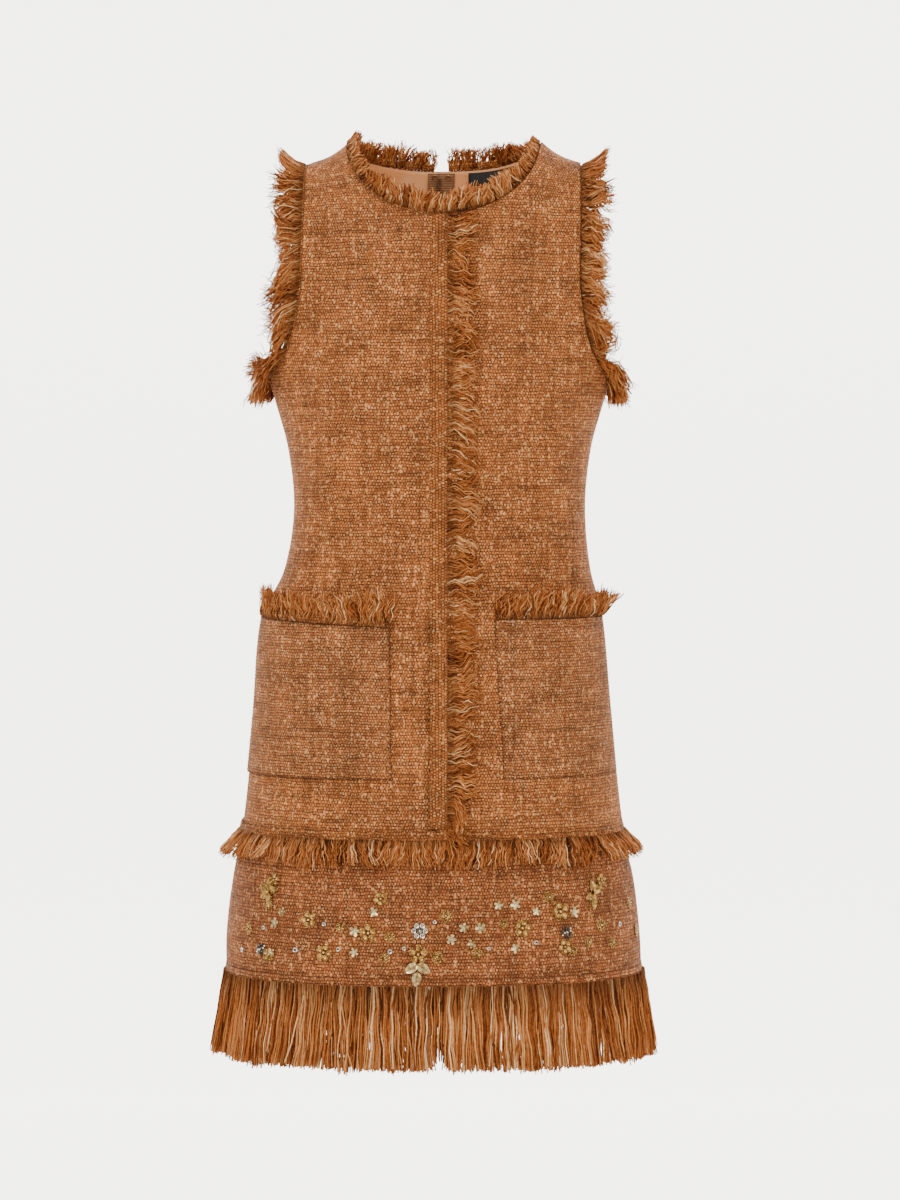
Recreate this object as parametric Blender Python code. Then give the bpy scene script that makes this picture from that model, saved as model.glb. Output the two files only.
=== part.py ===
"""Sleeveless A-line mini dress in fringed tweed, filled out as if worn, with nothing inside it.

Metres, +Z up. The front faces -Y and the wearer's left is at +X. The origin lies between the
shoulder seams, where the wearer's shoulders hold the dress up.
"""
import math
from collections import namedtuple

import bmesh
import bpy
import numpy as np
from mathutils import Vector

UP = Vector((0, 0, 1))
ACROSS = Vector((1, 0, 0))
FRONT, BACK = -1, 1
RIGHT, LEFT = -1, 1
RIGHT_ANGLE = math.pi / 2

# Cloth
WALL = 0.002
LINING = 0.001
TAPE = 0.0008
SEAM_GAP = 0.0003
LAY_GAP = 0.0006

# Levels, measured from the shoulder seams
SHOULDER_TIP_Z = -0.0005
SHOULDER_SLOPE = 0.35
UNDERARM_Z = -0.192
MID_SEAM_Z = -0.604
BAND_END_Z = -0.728
HEM_SEAM_Z = -0.736
POCKET_TOP_Z = -0.412
POCKET_BOTTOM_Z = -0.553
ZIP_END_Z = -0.41
LINING_ROWS = 7

# Neckline and armholes
NECK_HALF_WIDTH = 0.088
NECK_SWEEP_X = 0.112
NECK_SWEEP = 12
FRONT_NECK_DROP = 0.070
BACK_NECK_DROP = 0.021
ARMHOLE_X = 0.124
ARMHOLE_TURN_Z = -0.10

# The body's form: roundness 2 is an ellipse, and a larger one is squarer. The caps over the chest
# and the back run from the underarm level to the shoulder seam.
ROUNDNESS = 2.3
CAP_HALF_WIDTH = 0.19
CAP_SQUARENESS = {FRONT: 1.0, BACK: 0.75}
CAP_SWAY = 0.005

Section = namedtuple("Section", "z half_width front_depth back_depth sway")
SECTIONS = [
    Section(UNDERARM_Z, 0.1560, 0.117, 0.103, 0.000),
    Section(-0.217, 0.1485, 0.114, 0.100, 0.000),
    Section(-0.260, 0.1370, 0.104, 0.096, 0.000),
    Section(-0.315, 0.1320, 0.097, 0.092, 0.000),
    Section(-0.370, 0.1390, 0.103, 0.101, -0.002),
    Section(-0.410, 0.1535, 0.110, 0.110, -0.006),
    Section(-0.500, 0.1620, 0.119, 0.124, -0.006),
    Section(MID_SEAM_Z, 0.1730, 0.129, 0.134, -0.006),
    Section(-0.650, 0.1830, 0.137, 0.141, -0.005),
    Section(-0.700, 0.1890, 0.144, 0.147, -0.005),
    Section(-0.740, 0.1900, 0.147, 0.150, -0.004),
]

# Rows and columns of each quarter of the body
NECK_ROWS = 6
ARM_ROWS = 9
BODY_ROWS = 14
BAND_ROWS = 4
COLUMNS = 8

# Trims: a woven strip along each cloth edge, with locks of fringe beyond it
STRIP = 0.007
MID_STRIP = 0.009
STRIP_THICKNESS = 0.0016
PLACKET_HALF = 0.0078
# A lock's two lengths, and its width at the end of each as a share of its root's width
Lock = namedtuple("Lock", "first second middle tip")
NECK_LOCK = Lock(0.0080, 0.0085, 0.84, 0.58)
ARMHOLE_LOCK = Lock(0.0100, 0.0100, 0.56, 0.32)
MID_LOCK = Lock(0.0155, 0.0155, 0.84, 0.58)
HEM_LOCK = Lock(0.0345, 0.0345, 0.78, 0.52)
POCKET_LOCK = Lock(0.012, 0.011, 0.84, 0.58)
FRONT_LOCK = Lock(0.014, 0.014, 0.84, 0.58)
LOCK_THINNING = (0.9, 0.6)
LENGTH_VARIATION = 0.07

# Pockets: the inner edge's distance from the centre front, at the top and at the bottom
Pocket = namedtuple("Pocket", "hand inner_top inner_bottom outer_angle")
POCKETS = {
    "right": Pocket(RIGHT, 0.037, 0.036, math.radians(84)),
    "left": Pocket(LEFT, 0.056, 0.064, math.radians(84)),
}
POCKET_GAPE = 0.0028

# Zip slider and its pull tab, on the centre back
SLIDER_Z = -0.030
SLIDER_SIZE = Vector((0.0066, 0.0020, 0.0090))
LUG_THICKNESS = 0.0010
LUG_HEIGHT = 0.0032
PIN_RADIUS = 0.0006
PIN_HEIGHT = 0.0022
EYE_RADIUS = 0.0010
EYE_WALL = 0.0007
TAB_HALF_WIDTH = 0.0018
TAB_LENGTH = 0.018
TAB_THICKNESS = 0.0012
TAB_REST_TILT = math.radians(8)

# Flowers and leaf sprigs on the hem band: across from the centre front, and below the shoulders
Flower = namedtuple("Flower", "name x z radius turn")
FLOWERS = [
    Flower("flower_1", -0.146, -0.711, 0.0070, 10),
    Flower("flower_2", -0.109, -0.678, 0.0078, 36),
    Flower("flower_3", -0.096, -0.706, 0.0080, 0),
    Flower("flower_4", -0.057, -0.688, 0.0080, 20),
    Flower("flower_5", -0.046, -0.658, 0.0066, 50),
    Flower("flower_6", -0.013, -0.706, 0.0086, 18),
    Flower("flower_7", 0.079, -0.684, 0.0082, 5),
    Flower("flower_8", 0.111, -0.671, 0.0086, 30),
    Flower("flower_9", 0.116, -0.702, 0.0070, 44),
]
PETALS = 5
Sprig = namedtuple("Sprig", "name x z leaves")
Leaf = namedtuple("Leaf", "direction length half_width")
SPRIGS = [
    Sprig("leaf_sprig_centre", -0.014, -0.7195, [
        Leaf(345, 0.0120, 0.0034), Leaf(195, 0.0125, 0.0034), Leaf(268, 0.0135, 0.0034)]),
    Sprig("leaf_sprig_right", -0.146, -0.656, [
        Leaf(20, 0.0120, 0.0036), Leaf(85, 0.0150, 0.0038), Leaf(150, 0.0130, 0.0038),
        Leaf(215, 0.0110, 0.0034), Leaf(285, 0.0150, 0.0030)]),
    Sprig("leaf_sprig_left", 0.143, -0.657, [
        Leaf(40, 0.0150, 0.0038), Leaf(100, 0.0130, 0.0036), Leaf(205, 0.0110, 0.0036),
        Leaf(262, 0.0150, 0.0034)]),
]
ORNAMENT_LIFT = 0.0009
ORNAMENT_EDGE = 0.0007
ORNAMENT_DOME = 0.0016
LEAF_NOTCH = 0.0022

TWEED = ("tweed", (0.45, 0.18, 0.06), 0.85, 0.0)
YARN = ("fringe_yarn", (0.42, 0.16, 0.06), 0.8, 0.0)
SATIN = ("lining_satin", (0.58, 0.22, 0.06), 0.4, 0.0)
ZIP_WEAVE = ("zip_tape", (0.12, 0.05, 0.02), 0.7, 0.0)
GOLD = ("gold_metal", (0.75, 0.52, 0.22), 0.3, 1.0)
BLACK_WEAVE = ("label_weave", (0.02, 0.02, 0.02), 0.6, 0.0)


def material(look):
    """The look's material, made on its first use: (name, colour, roughness, metallic)."""
    name, colour, roughness, metallic = look
    found = bpy.data.materials.get(name)
    if found:
        return found
    made = bpy.data.materials.new(name)
    made.use_nodes = True
    shader = made.node_tree.nodes["Principled BSDF"]
    shader.inputs["Base Color"].default_value = (*colour, 1)
    shader.inputs["Roughness"].default_value = roughness
    shader.inputs["Metallic"].default_value = metallic
    return made


def add_solid(name, points, faces, look):
    """One closed body from its points and faces, turned to face outwards."""
    mesh = bpy.data.meshes.new(name)
    shape = bmesh.new()
    corners = [shape.verts.new(point) for point in points]
    for face in faces:
        shape.faces.new([corners[index] for index in face])
    bmesh.ops.recalc_face_normals(shape, faces=shape.faces)
    if shape.calc_volume(signed=True) < 0:
        bmesh.ops.reverse_faces(shape, faces=shape.faces)
    shape.to_mesh(mesh)
    shape.free()
    solid = bpy.data.objects.new(name, mesh)
    bpy.context.scene.collection.objects.link(solid)
    mesh.materials.append(material(look))
    return solid


# ---------------------------------------------------------------- the body's form

def section_at(z):
    """The section at a height: a smooth curve through the table's rows."""
    heights = [row.z for row in SECTIONS]
    last = len(SECTIONS) - 1
    index = 0
    while index < last - 1 and z < heights[index + 1]:
        index += 1
    step = heights[index + 1] - heights[index]
    part = min(max((z - heights[index]) / step, 0), 1)
    values = []
    for column in range(1, 5):
        near, far = SECTIONS[index][column], SECTIONS[index + 1][column]
        slopes = []
        for end in (index, index + 1):
            before, after = SECTIONS[max(end - 1, 0)], SECTIONS[min(end + 1, last)]
            slopes.append((after[column] - before[column]) / (after.z - before.z) * step)
        values.append((2 * part ** 3 - 3 * part ** 2 + 1) * near
                      + (part ** 3 - 2 * part ** 2 + part) * slopes[0]
                      + (3 * part ** 2 - 2 * part ** 3) * far
                      + (part ** 3 - part ** 2) * slopes[1])
    return Section(z, *values)


def signed_power(value, power):
    return math.copysign(abs(value) ** power, value)


def shoulder_z(x):
    """The shoulder seam's height: it sweeps up to the neck, then runs on straight across it."""
    seam_x = max(abs(x), NECK_HALF_WIDTH)
    sweep = NECK_SWEEP * max(NECK_SWEEP_X - seam_x, 0) ** 2
    return SHOULDER_TIP_Z + SHOULDER_SLOPE * (ARMHOLE_X - abs(x)) + sweep


def half_width_at(level):
    """Levels run from 0 at the shoulder seam to 1 at the underarm, then on in metres below it."""
    section = section_at(UNDERARM_Z - max(level - 1, 0))
    if level >= 1:
        return section.half_width
    return section.half_width * level + CAP_HALF_WIDTH * (1 - level)


def skin(angle, level, side):
    """A point on the cloth's outside. The angle is 0 at the centre and a right angle at the side."""
    section = section_at(UNDERARM_Z - max(level - 1, 0))
    depth = section.front_depth if side == FRONT else section.back_depth
    x = half_width_at(level) * signed_power(math.sin(angle), 2 / ROUNDNESS)
    y = side * depth * signed_power(math.cos(angle), 2 / ROUNDNESS)
    if level >= 1:
        return Vector((section.sway + x, y, section.z))
    tilt = (1 - level) * RIGHT_ANGLE
    power = CAP_SQUARENESS[side]
    rise = (shoulder_z(x) - UNDERARM_Z) * signed_power(math.sin(tilt), power)
    x += CAP_SWAY * (1 - level)
    return Vector((x, y * signed_power(math.cos(tilt), power), UNDERARM_Z + rise))


def skin_normal(angle, level, side):
    step = 1e-4
    along = skin(angle + step, level, side) - skin(angle - step, level, side)
    down = skin(angle, level + step, side) - skin(angle, level - step, side)
    normal = along.cross(down).normalized()
    outwards = skin(angle, level, side) - Vector((0, 0, 2 * UNDERARM_Z if level < 1 else 0))
    if level >= 1:
        outwards.z = 0
    return normal if normal.dot(outwards) > 0 else -normal


def angle_at(x, level):
    share = min(abs(x) / half_width_at(level), 1)
    return math.copysign(math.asin(share ** (ROUNDNESS / 2)), x)


def level_at(x, z, side):
    if z <= UNDERARM_Z:
        return 1 + UNDERARM_Z - z
    share = min((z - UNDERARM_Z) / (shoulder_z(x) - UNDERARM_Z), 1)
    return 1 - math.asin(share ** (1 / CAP_SQUARENESS[side])) / RIGHT_ANGLE


def place(x, z, side):
    """The angle and level of a place given by its distance across and its height."""
    level = level_at(x, z, side)
    return angle_at(x, level), level


# ---------------------------------------------------------------- panel grids

def neck_point(row, side):
    turn = RIGHT_ANGLE * row / NECK_ROWS
    drop = FRONT_NECK_DROP if side == FRONT else BACK_NECK_DROP
    neck_z = shoulder_z(NECK_HALF_WIDTH)
    return place(NECK_HALF_WIDTH * math.cos(turn), neck_z - drop * math.sin(turn), side)


def armhole_point(row, side):
    tip = shoulder_z(ARMHOLE_X)
    z = tip + (UNDERARM_Z - tip) * math.sin(RIGHT_ANGLE * row / ARM_ROWS)
    x = ARMHOLE_X
    if z < ARMHOLE_TURN_Z:
        turn = min((z - ARMHOLE_TURN_Z) / (UNDERARM_Z - ARMHOLE_TURN_Z), 1)
        x += (SECTIONS[0].half_width - ARMHOLE_X) * (1 - math.sqrt(1 - turn ** 2))
    return place(x, z, side)


def row_ends(row, side):
    """The inner and outer end of a panel's row, each as an angle and a level."""
    if row > ARM_ROWS:
        level = 1 + (UNDERARM_Z - MID_SEAM_Z) * (row - ARM_ROWS) / BODY_ROWS
        return (0, level), (RIGHT_ANGLE, level)
    if row <= NECK_ROWS:
        return neck_point(row, side), armhole_point(row, side)
    neck_z = skin(*neck_point(NECK_ROWS, side), side).z
    z = neck_z + (UNDERARM_Z - neck_z) * (row - NECK_ROWS) / (ARM_ROWS - NECK_ROWS)
    return place(0, z, side), armhole_point(row, side)


def panel_place(row, column, side, hand):
    """A panel's grid place. Column 0 is on the neckline or the centre line."""
    inner, outer = row_ends(row, side)
    share = column / COLUMNS
    angle = inner[0] + (outer[0] - inner[0]) * share
    return hand * angle, inner[1] + (outer[1] - inner[1]) * share


def layer(grid_place, side, depth):
    """The point a given depth under the cloth's outside, kept clear of the side seam."""
    point = skin(*grid_place, side) - skin_normal(*grid_place, side) * depth
    if side * point.y < SEAM_GAP / 2:
        point.y = side * SEAM_GAP / 2
    return point


def facet_point(angle, level, side, depth):
    """A point on the flat facets between the lower grid places, for what lies on the cloth."""
    column_step = RIGHT_ANGLE / COLUMNS
    row_step = (UNDERARM_Z - MID_SEAM_Z) / BODY_ROWS
    column = min(int(abs(angle) / column_step + 1e-6), COLUMNS - 1)
    row = min(int((level - 1) / row_step + 1e-6), BODY_ROWS - 1)
    across = abs(angle) / column_step - column
    down = (level - 1) / row_step - row
    point = Vector()
    for column_end, column_share in ((column, 1 - across), (column + 1, across)):
        for row_end, row_share in ((row, 1 - down), (row + 1, down)):
            corner = (math.copysign(column_end * column_step, angle), 1 + row_end * row_step)
            point += layer(corner, side, depth) * column_share * row_share
    return point


def sheet(name, outer, inner, quads, look):
    """A cloth wall: its outer and inner points by grid place, closed round its edges."""
    keys = sorted(outer)
    index = {key: number for number, key in enumerate(keys)}
    count = len(keys)
    points = [outer[key] for key in keys] + [inner[key] for key in keys]
    faces = []
    sides = {}
    for quad in quads:
        corners = [index[key] for key in quad]
        faces.append(corners)
        faces.append([corner + count for corner in reversed(corners)])
        for start, end in zip(corners, corners[1:] + corners[:1]):
            sides.setdefault(frozenset((start, end)), []).append((start, end))
    for uses in sides.values():
        if len(uses) == 1:
            start, end = uses[0]
            faces.append([end, start, start + count, end + count])
    return add_solid(name, points, faces, look)


def grid_quads(rows, columns):
    return [[(row, column), (row, column + 1), (row + 1, column + 1), (row + 1, column)]
            for row in rows for column in columns]


# ---------------------------------------------------------------- the cut pieces

def add_front():
    """The front, cut in one piece with its two shoulders."""
    outer, inner, quads = {}, {}, []

    def key(row, column, hand):
        centred = column == 0 and row >= NECK_ROWS
        return (row, column, 0 if centred else hand)

    for hand in (RIGHT, LEFT):
        for row in range(ARM_ROWS + BODY_ROWS + 1):
            for column in range(COLUMNS + 1):
                grid_place = panel_place(row, column, FRONT, hand)
                outer[key(row, column, hand)] = layer(grid_place, FRONT, 0)
                inner[key(row, column, hand)] = layer(grid_place, FRONT, WALL)
        for quad in grid_quads(range(ARM_ROWS + BODY_ROWS), range(COLUMNS)):
            quads.append([key(row, column, hand) for row, column in quad])
    sheet("front", outer, inner, quads, TWEED)


def back_layer(row, column, hand, depth):
    point = layer(panel_place(row, column, BACK, hand), BACK, depth)
    if column == 0 and row >= NECK_ROWS:
        point.x += hand * SEAM_GAP / 2
    return point


def add_back(side_name, hand):
    """Half of the back, from the zip to the side seam, with the lining that shows at its neck."""
    rows = range(ARM_ROWS + BODY_ROWS + 1)
    keys = [(row, column) for row in rows for column in range(COLUMNS + 1)]
    outer = {key: back_layer(*key, hand, 0) for key in keys}
    inner = {key: back_layer(*key, hand, WALL) for key in keys}
    sheet(f"back_{side_name}", outer, inner, grid_quads(rows[:-1], range(COLUMNS)), TWEED)

    top = WALL + SEAM_GAP
    keys = [(row, column) for row in range(LINING_ROWS + 1) for column in range(COLUMNS - 1)]
    outer = {key: back_layer(*key, hand, top) for key in keys}
    inner = {key: back_layer(*key, hand, top + LINING) for key in keys}
    quads = grid_quads(range(LINING_ROWS), range(COLUMNS - 2))
    sheet(f"lining_{side_name}", outer, inner, quads, SATIN)


def add_zip_tape(side_name, hand):
    """One tape of the zip, inside the lining, from the neckline down the centre back."""
    top = WALL + LINING + 2 * SEAM_GAP
    last_row = ARM_ROWS + round(BODY_ROWS * (UNDERARM_Z - ZIP_END_Z) / (UNDERARM_Z - MID_SEAM_Z))
    tape_width = 0.013
    outer, inner = {}, {}
    for row in range(NECK_ROWS, last_row + 1):
        for depth, points in ((top, outer), (top + TAPE, inner)):
            centre = back_layer(row, 0, hand, depth)
            beside = back_layer(row, 1, hand, depth)
            points[row, 0] = centre
            points[row, 1] = centre.lerp(beside, tape_width / (beside - centre).length)
    quads = grid_quads(range(NECK_ROWS, last_row), range(1))
    sheet(f"zip_tape_{side_name}", outer, inner, quads, ZIP_WEAVE)


def add_hem_band(side_name, side):
    """The lower band, from side seam to side seam."""
    top = MID_SEAM_Z - SEAM_GAP
    outer, inner = {}, {}
    for row in range(BAND_ROWS + 1):
        level = 1 + UNDERARM_Z - top - (BAND_END_Z - top) * row / BAND_ROWS
        for column in range(-COLUMNS, COLUMNS + 1):
            grid_place = (RIGHT_ANGLE * column / COLUMNS, level)
            outer[row, column] = layer(grid_place, side, 0)
            inner[row, column] = layer(grid_place, side, WALL)
    quads = grid_quads(range(BAND_ROWS), range(-COLUMNS, COLUMNS))
    sheet(f"hem_band_{side_name}", outer, inner, quads, TWEED)


def pocket_lines(pocket):
    """The pocket's own angles and levels, with the front's grid lines that cross it."""
    column_step = RIGHT_ANGLE / COLUMNS
    row_step = (UNDERARM_Z - MID_SEAM_Z) / BODY_ROWS
    top, bottom = 1 + UNDERARM_Z - POCKET_TOP_Z, 1 + UNDERARM_Z - POCKET_BOTTOM_Z
    inner_angle = max(angle_at(pocket.inner_top, top), angle_at(pocket.inner_bottom, bottom))
    clear = 0.12
    columns = [column * column_step for column in range(1, COLUMNS)
               if inner_angle + clear * column_step < column * column_step
               < pocket.outer_angle - clear * column_step]
    rows = [1 + row * row_step for row in range(BODY_ROWS)
            if top + clear * row_step < 1 + row * row_step < bottom - clear * row_step]
    return columns, [top] + rows + [bottom]


def pocket_point(pocket, column, level, columns, depth):
    """A point of the pocket, whose mouth stands off the front between its corners."""
    top, bottom = 1 + UNDERARM_Z - POCKET_TOP_Z, 1 + UNDERARM_Z - POCKET_BOTTOM_Z
    down = (level - top) / (bottom - top)
    inner_x = pocket.inner_top + (pocket.inner_bottom - pocket.inner_top) * down
    angles = [angle_at(inner_x, level)] + columns + [pocket.outer_angle]
    angle = pocket.hand * angles[column]
    across = column / (len(angles) - 1)
    gape = POCKET_GAPE * math.sin(math.pi * across) * max(1 - down, 0) ** 2
    return facet_point(angle, level, FRONT, depth - LAY_GAP - gape)


def add_pocket(side_name, pocket):
    columns, levels = pocket_lines(pocket)
    outer, inner = {}, {}
    for row, level in enumerate(levels):
        for column in range(len(columns) + 2):
            outer[row, column] = pocket_point(pocket, column, level, columns, -WALL)
            inner[row, column] = pocket_point(pocket, column, level, columns, 0)
    quads = grid_quads(range(len(levels) - 1), range(len(columns) + 1))
    sheet(f"pocket_{side_name}", outer, inner, quads, TWEED)


# ---------------------------------------------------------------- fringed trims

def fringed_strip(name, rails, closed, steer, seed, pattern):
    """A woven strip with a lock of fringe on each of its lengths.

    rails holds, for each station along the strip, pairs of outer and inner points from its base to
    its fringed edge. steer gives a lock's two directions from its root's centre, outward normal and
    direction along the strip.
    """
    random = np.random.default_rng(seed)
    stations, across = len(rails), len(rails[0])
    points = [point for station in rails for pair in station for point in pair]
    faces = []

    def corner(station, column, layer_number):
        return ((station % stations) * across + column) * 2 + layer_number

    lengths = stations if closed else stations - 1
    for station in range(lengths):
        for column in range(across - 1):
            for number in (0, 1):
                faces.append([corner(station, column, number), corner(station + 1, column, number),
                              corner(station + 1, column + 1, number),
                              corner(station, column + 1, number)])
        faces.append([corner(station, 0, 0), corner(station + 1, 0, 0),
                      corner(station + 1, 0, 1), corner(station, 0, 1)])
        root = [corner(station, across - 1, 0), corner(station + 1, across - 1, 0),
                corner(station + 1, across - 1, 1), corner(station, across - 1, 1)]
        faces += add_lock(points, root, steer, random, pattern)
    if not closed:
        for station in (0, stations - 1):
            for column in range(across - 1):
                faces.append([corner(station, column, 0), corner(station, column + 1, 0),
                              corner(station, column + 1, 1), corner(station, column, 1)])
    return add_solid(name, points, faces, YARN)


def add_lock(points, root, steer, random, pattern):
    """Adds a lock's points, in two tapered lengths from its root, and returns its faces."""
    outer_start, outer_end, inner_end, inner_start = (points[index] for index in root)
    centre = (outer_start + outer_end + inner_end + inner_start) / 4
    along = outer_end + inner_end - outer_start - inner_start
    width = along.length / 2
    along.normalize()
    outward = outer_start + outer_end - inner_start - inner_end
    thickness = outward.length / 2
    outward.normalize()
    faces = []
    ring = root
    longer = 1 + LENGTH_VARIATION * random.uniform(-1, 1)
    sway = 0.06 * random.uniform(-1, 1)
    for direction, length, taper, thinning in zip(
            steer(centre, outward, along), (pattern.first, pattern.second),
            (pattern.middle, pattern.tip), LOCK_THINNING):
        direction = (direction.normalized() + along * sway).normalized()
        centre = centre + direction * length * longer
        flat = direction.cross(along).normalized()
        if flat.dot(outward) < 0:
            flat = -flat
        outward = flat
        start = len(points)
        for side, face_side in ((-1, 1), (1, 1), (1, -1), (-1, -1)):
            points.append(centre + along * (side * width * taper / 2)
                          + flat * (face_side * thickness * thinning / 2))
        tip = [start, start + 1, start + 2, start + 3]
        for first in range(4):
            second = (first + 1) % 4
            faces.append([ring[first], ring[second], tip[second], tip[first]])
        ring = tip
    faces.append(ring)
    return faces


def edge_rails(edge, inland, normals, closed, rise):
    """Rails of a strip that carries on from a cloth edge, a seam's gap beyond it.

    inland holds a point on the cloth beside each edge point, and rise says how far each station's
    strip turns from the cloth's own plane up to the vertical.
    """
    count = len(edge)
    rails = []
    for station, point in enumerate(edge):
        before = edge[(station - 1) % count] if closed or station else point
        after = edge[(station + 1) % count] if closed or station < count - 1 else point
        along = (after - before).normalized()
        beyond = normals[station].cross(along).normalized()
        if beyond.dot(point - inland[station]) < 0:
            beyond = -beyond
        direction = beyond.lerp(UP, rise[station]).normalized()
        outward = along.cross(direction).normalized()
        if outward.dot(normals[station]) < 0:
            outward = -outward
        base = point + beyond * SEAM_GAP
        tip = base + direction * STRIP
        rails.append([(base, base - outward * WALL), (tip, tip - outward * WALL)])
    return rails


def panel_edge(column, row, side, hand):
    """An edge place's point, the point beside it on the cloth, and the cloth's normal there."""
    grid_place = panel_place(row, column, side, hand)
    beside = panel_place(row, 1 if column == 0 else column - 1, side, hand)
    if column == 0 and row == NECK_ROWS:
        beside = panel_place(row + 1, 0, side, hand)
    if column == COLUMNS and row == ARM_ROWS:
        beside = panel_place(row + 1, COLUMNS, side, hand)
    return skin(*grid_place, side), skin(*beside, side), skin_normal(*grid_place, side)


def add_neck_fringe():
    """The neckline's trim, open at the centre back, standing up round the neck."""
    half = [(row, BACK) for row in range(NECK_ROWS, 0, -1)]
    half += [(row, FRONT) for row in range(NECK_ROWS + 1)]
    walk = [(row, side, RIGHT) for row, side in half]
    walk += [(row, side, LEFT) for row, side in reversed(half[:-1])]
    edge, inland, normals = zip(*(panel_edge(0, row, side, hand) for row, side, hand in walk))
    edge = list(edge)
    closing = 0.0015
    edge[0] = edge[0] - ACROSS * closing
    edge[-1] = edge[-1] + ACROSS * closing
    rise = [0.30 - 0.15 * (abs(point.x) / NECK_HALF_WIDTH) ** 2 for point in edge]

    def steer(centre, outward, along):
        up = along.cross(outward)
        up = up if up.z > 0 else -up
        return up + outward * 0.10 + UP * 0.2, up + outward * 0.35 + UP * 0.2

    rails = edge_rails(edge, inland, normals, False, rise)
    fringed_strip("neck_fringe", rails, False, steer, 11, NECK_LOCK)


def add_armhole_fringe(side_name, hand, seed):
    """An armhole's trim: it stands outwards at the shoulder and droops under the arm."""
    walk = [(row, FRONT) for row in range(ARM_ROWS + 1)]
    walk += [(row, BACK) for row in range(ARM_ROWS - 1, 0, -1)]
    edge, inland, normals = zip(*(panel_edge(COLUMNS, row, side, hand) for row, side in walk))
    beyond_droop = 0.8

    def steer(centre, outward, along):
        beyond = along.cross(outward)
        middle = Vector((hand * ARMHOLE_X, 0, UNDERARM_Z / 2))
        if beyond.dot(middle - centre) + beyond.x * hand * 0.1 < 0:
            beyond = -beyond
        low = max(beyond.z, 0)
        sideways = ACROSS * hand
        high = max(outward.z, 0) ** 2
        first = beyond * (0.7 - 0.35 * low) + outward * 0.25 + sideways * 0.45 + UP * 0.5 * high
        second = (beyond * 0.4 * (1 - low) + outward * 0.25 + sideways * 0.6
                  + UP * (0.7 * high - 0.12 - beyond_droop * low))
        return first, second

    rails = edge_rails(edge, inland, normals, True, [0] * len(edge))
    fringed_strip(f"armhole_fringe_{side_name}", rails, True, steer, seed, ARMHOLE_LOCK)


def ring_places(level):
    """Round the whole body at one level: stations on the facets, two to each column."""
    places = []
    quarter = [RIGHT_ANGLE * step / (2 * COLUMNS) for step in range(2 * COLUMNS + 1)]
    front = [-angle for angle in reversed(quarter)] + quarter[1:]
    places += [(angle, level, FRONT) for angle in front]
    places += [(angle, level, BACK) for angle in reversed(front)][1:-1]
    return places


def ring_layer(angle, level, side, depth):
    """A ring's point on the straight edge between two grid columns."""
    column_step = RIGHT_ANGLE / COLUMNS
    column = min(int(abs(angle) / column_step + 1e-6), COLUMNS - 1)
    across = abs(angle) / column_step - column
    ends = []
    for column_end in (column, column + 1):
        grid_place = (math.copysign(column_end * column_step, angle), level)
        ends.append(skin(*grid_place, side) - skin_normal(*grid_place, side) * depth)
    return ends[0].lerp(ends[1], across)


def ring_rails(top_z, bottom_z, outer_depth, inner_depth):
    rails = []
    tops, bottoms = (ring_places(1 + UNDERARM_Z - z) for z in (top_z, bottom_z))
    for ends in zip(tops, bottoms):
        rails.append([(ring_layer(*end, outer_depth), ring_layer(*end, inner_depth)) for end in ends])
    return rails


def add_mid_fringe():
    """The trim over the seam between the body and the hem band, flaring most at the sides."""
    def steer(centre, outward, along):
        level_out = Vector((outward.x, outward.y, 0)).normalized()
        side_share = abs(level_out.x)
        return (level_out * (0.35 + 0.45 * side_share) - UP * 0.8,
                level_out * (0.25 + 0.40 * side_share) - UP * 0.9)

    top = MID_SEAM_Z + MID_STRIP * 0.6
    rails = ring_rails(top, top - MID_STRIP, -LAY_GAP - STRIP_THICKNESS, -LAY_GAP)
    fringed_strip("mid_fringe", rails, True, steer, 23, MID_LOCK)


def add_hem_fringe():
    """The hem's trim: long locks that hang from a strip below the band."""
    def steer(centre, outward, along):
        level_out = Vector((outward.x, outward.y, 0)).normalized()
        return level_out * 0.16 - UP, level_out * 0.12 - UP

    rails = ring_rails(BAND_END_Z - SEAM_GAP, HEM_SEAM_Z, 0, WALL)
    fringed_strip("hem_fringe", rails, True, steer, 31, HEM_LOCK)


def add_front_fringe():
    """The mock placket down the centre front, fringed along its edge on the wearer's left."""
    stations = []
    for row in range(NECK_ROWS, ARM_ROWS + BODY_ROWS):
        splits = 3 if row < ARM_ROWS else 2
        stations += [(row, split / splits) for split in range(splits)]
    stations = stations[:-1]
    rails = []
    for row, share in stations:
        station = []
        for hand, column in ((RIGHT, 1), (None, 0), (LEFT, 1)):
            pair = []
            for depth in (-LAY_GAP - STRIP_THICKNESS, -LAY_GAP):
                ends = []
                for row_end in (row, row + 1):
                    centre = layer(panel_place(row_end, 0, FRONT, LEFT), FRONT, depth)
                    if column:
                        # The placket hangs straight, so it makes up for the body's sway
                        beside = layer(panel_place(row_end, 1, FRONT, hand), FRONT, depth)
                        reach = PLACKET_HALF - hand * centre.x
                        centre = centre.lerp(beside, reach / (beside - centre).length)
                    ends.append(centre)
                pair.append(ends[0].lerp(ends[1], share))
            station.append(tuple(pair))
        rails.append(station)

    def steer(centre, outward, along):
        return ACROSS + outward * 0.16 - UP * 0.05, ACROSS + outward * 0.05 - UP * 0.16

    fringed_strip("front_fringe", rails, False, steer, 47, FRONT_LOCK)


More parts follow.
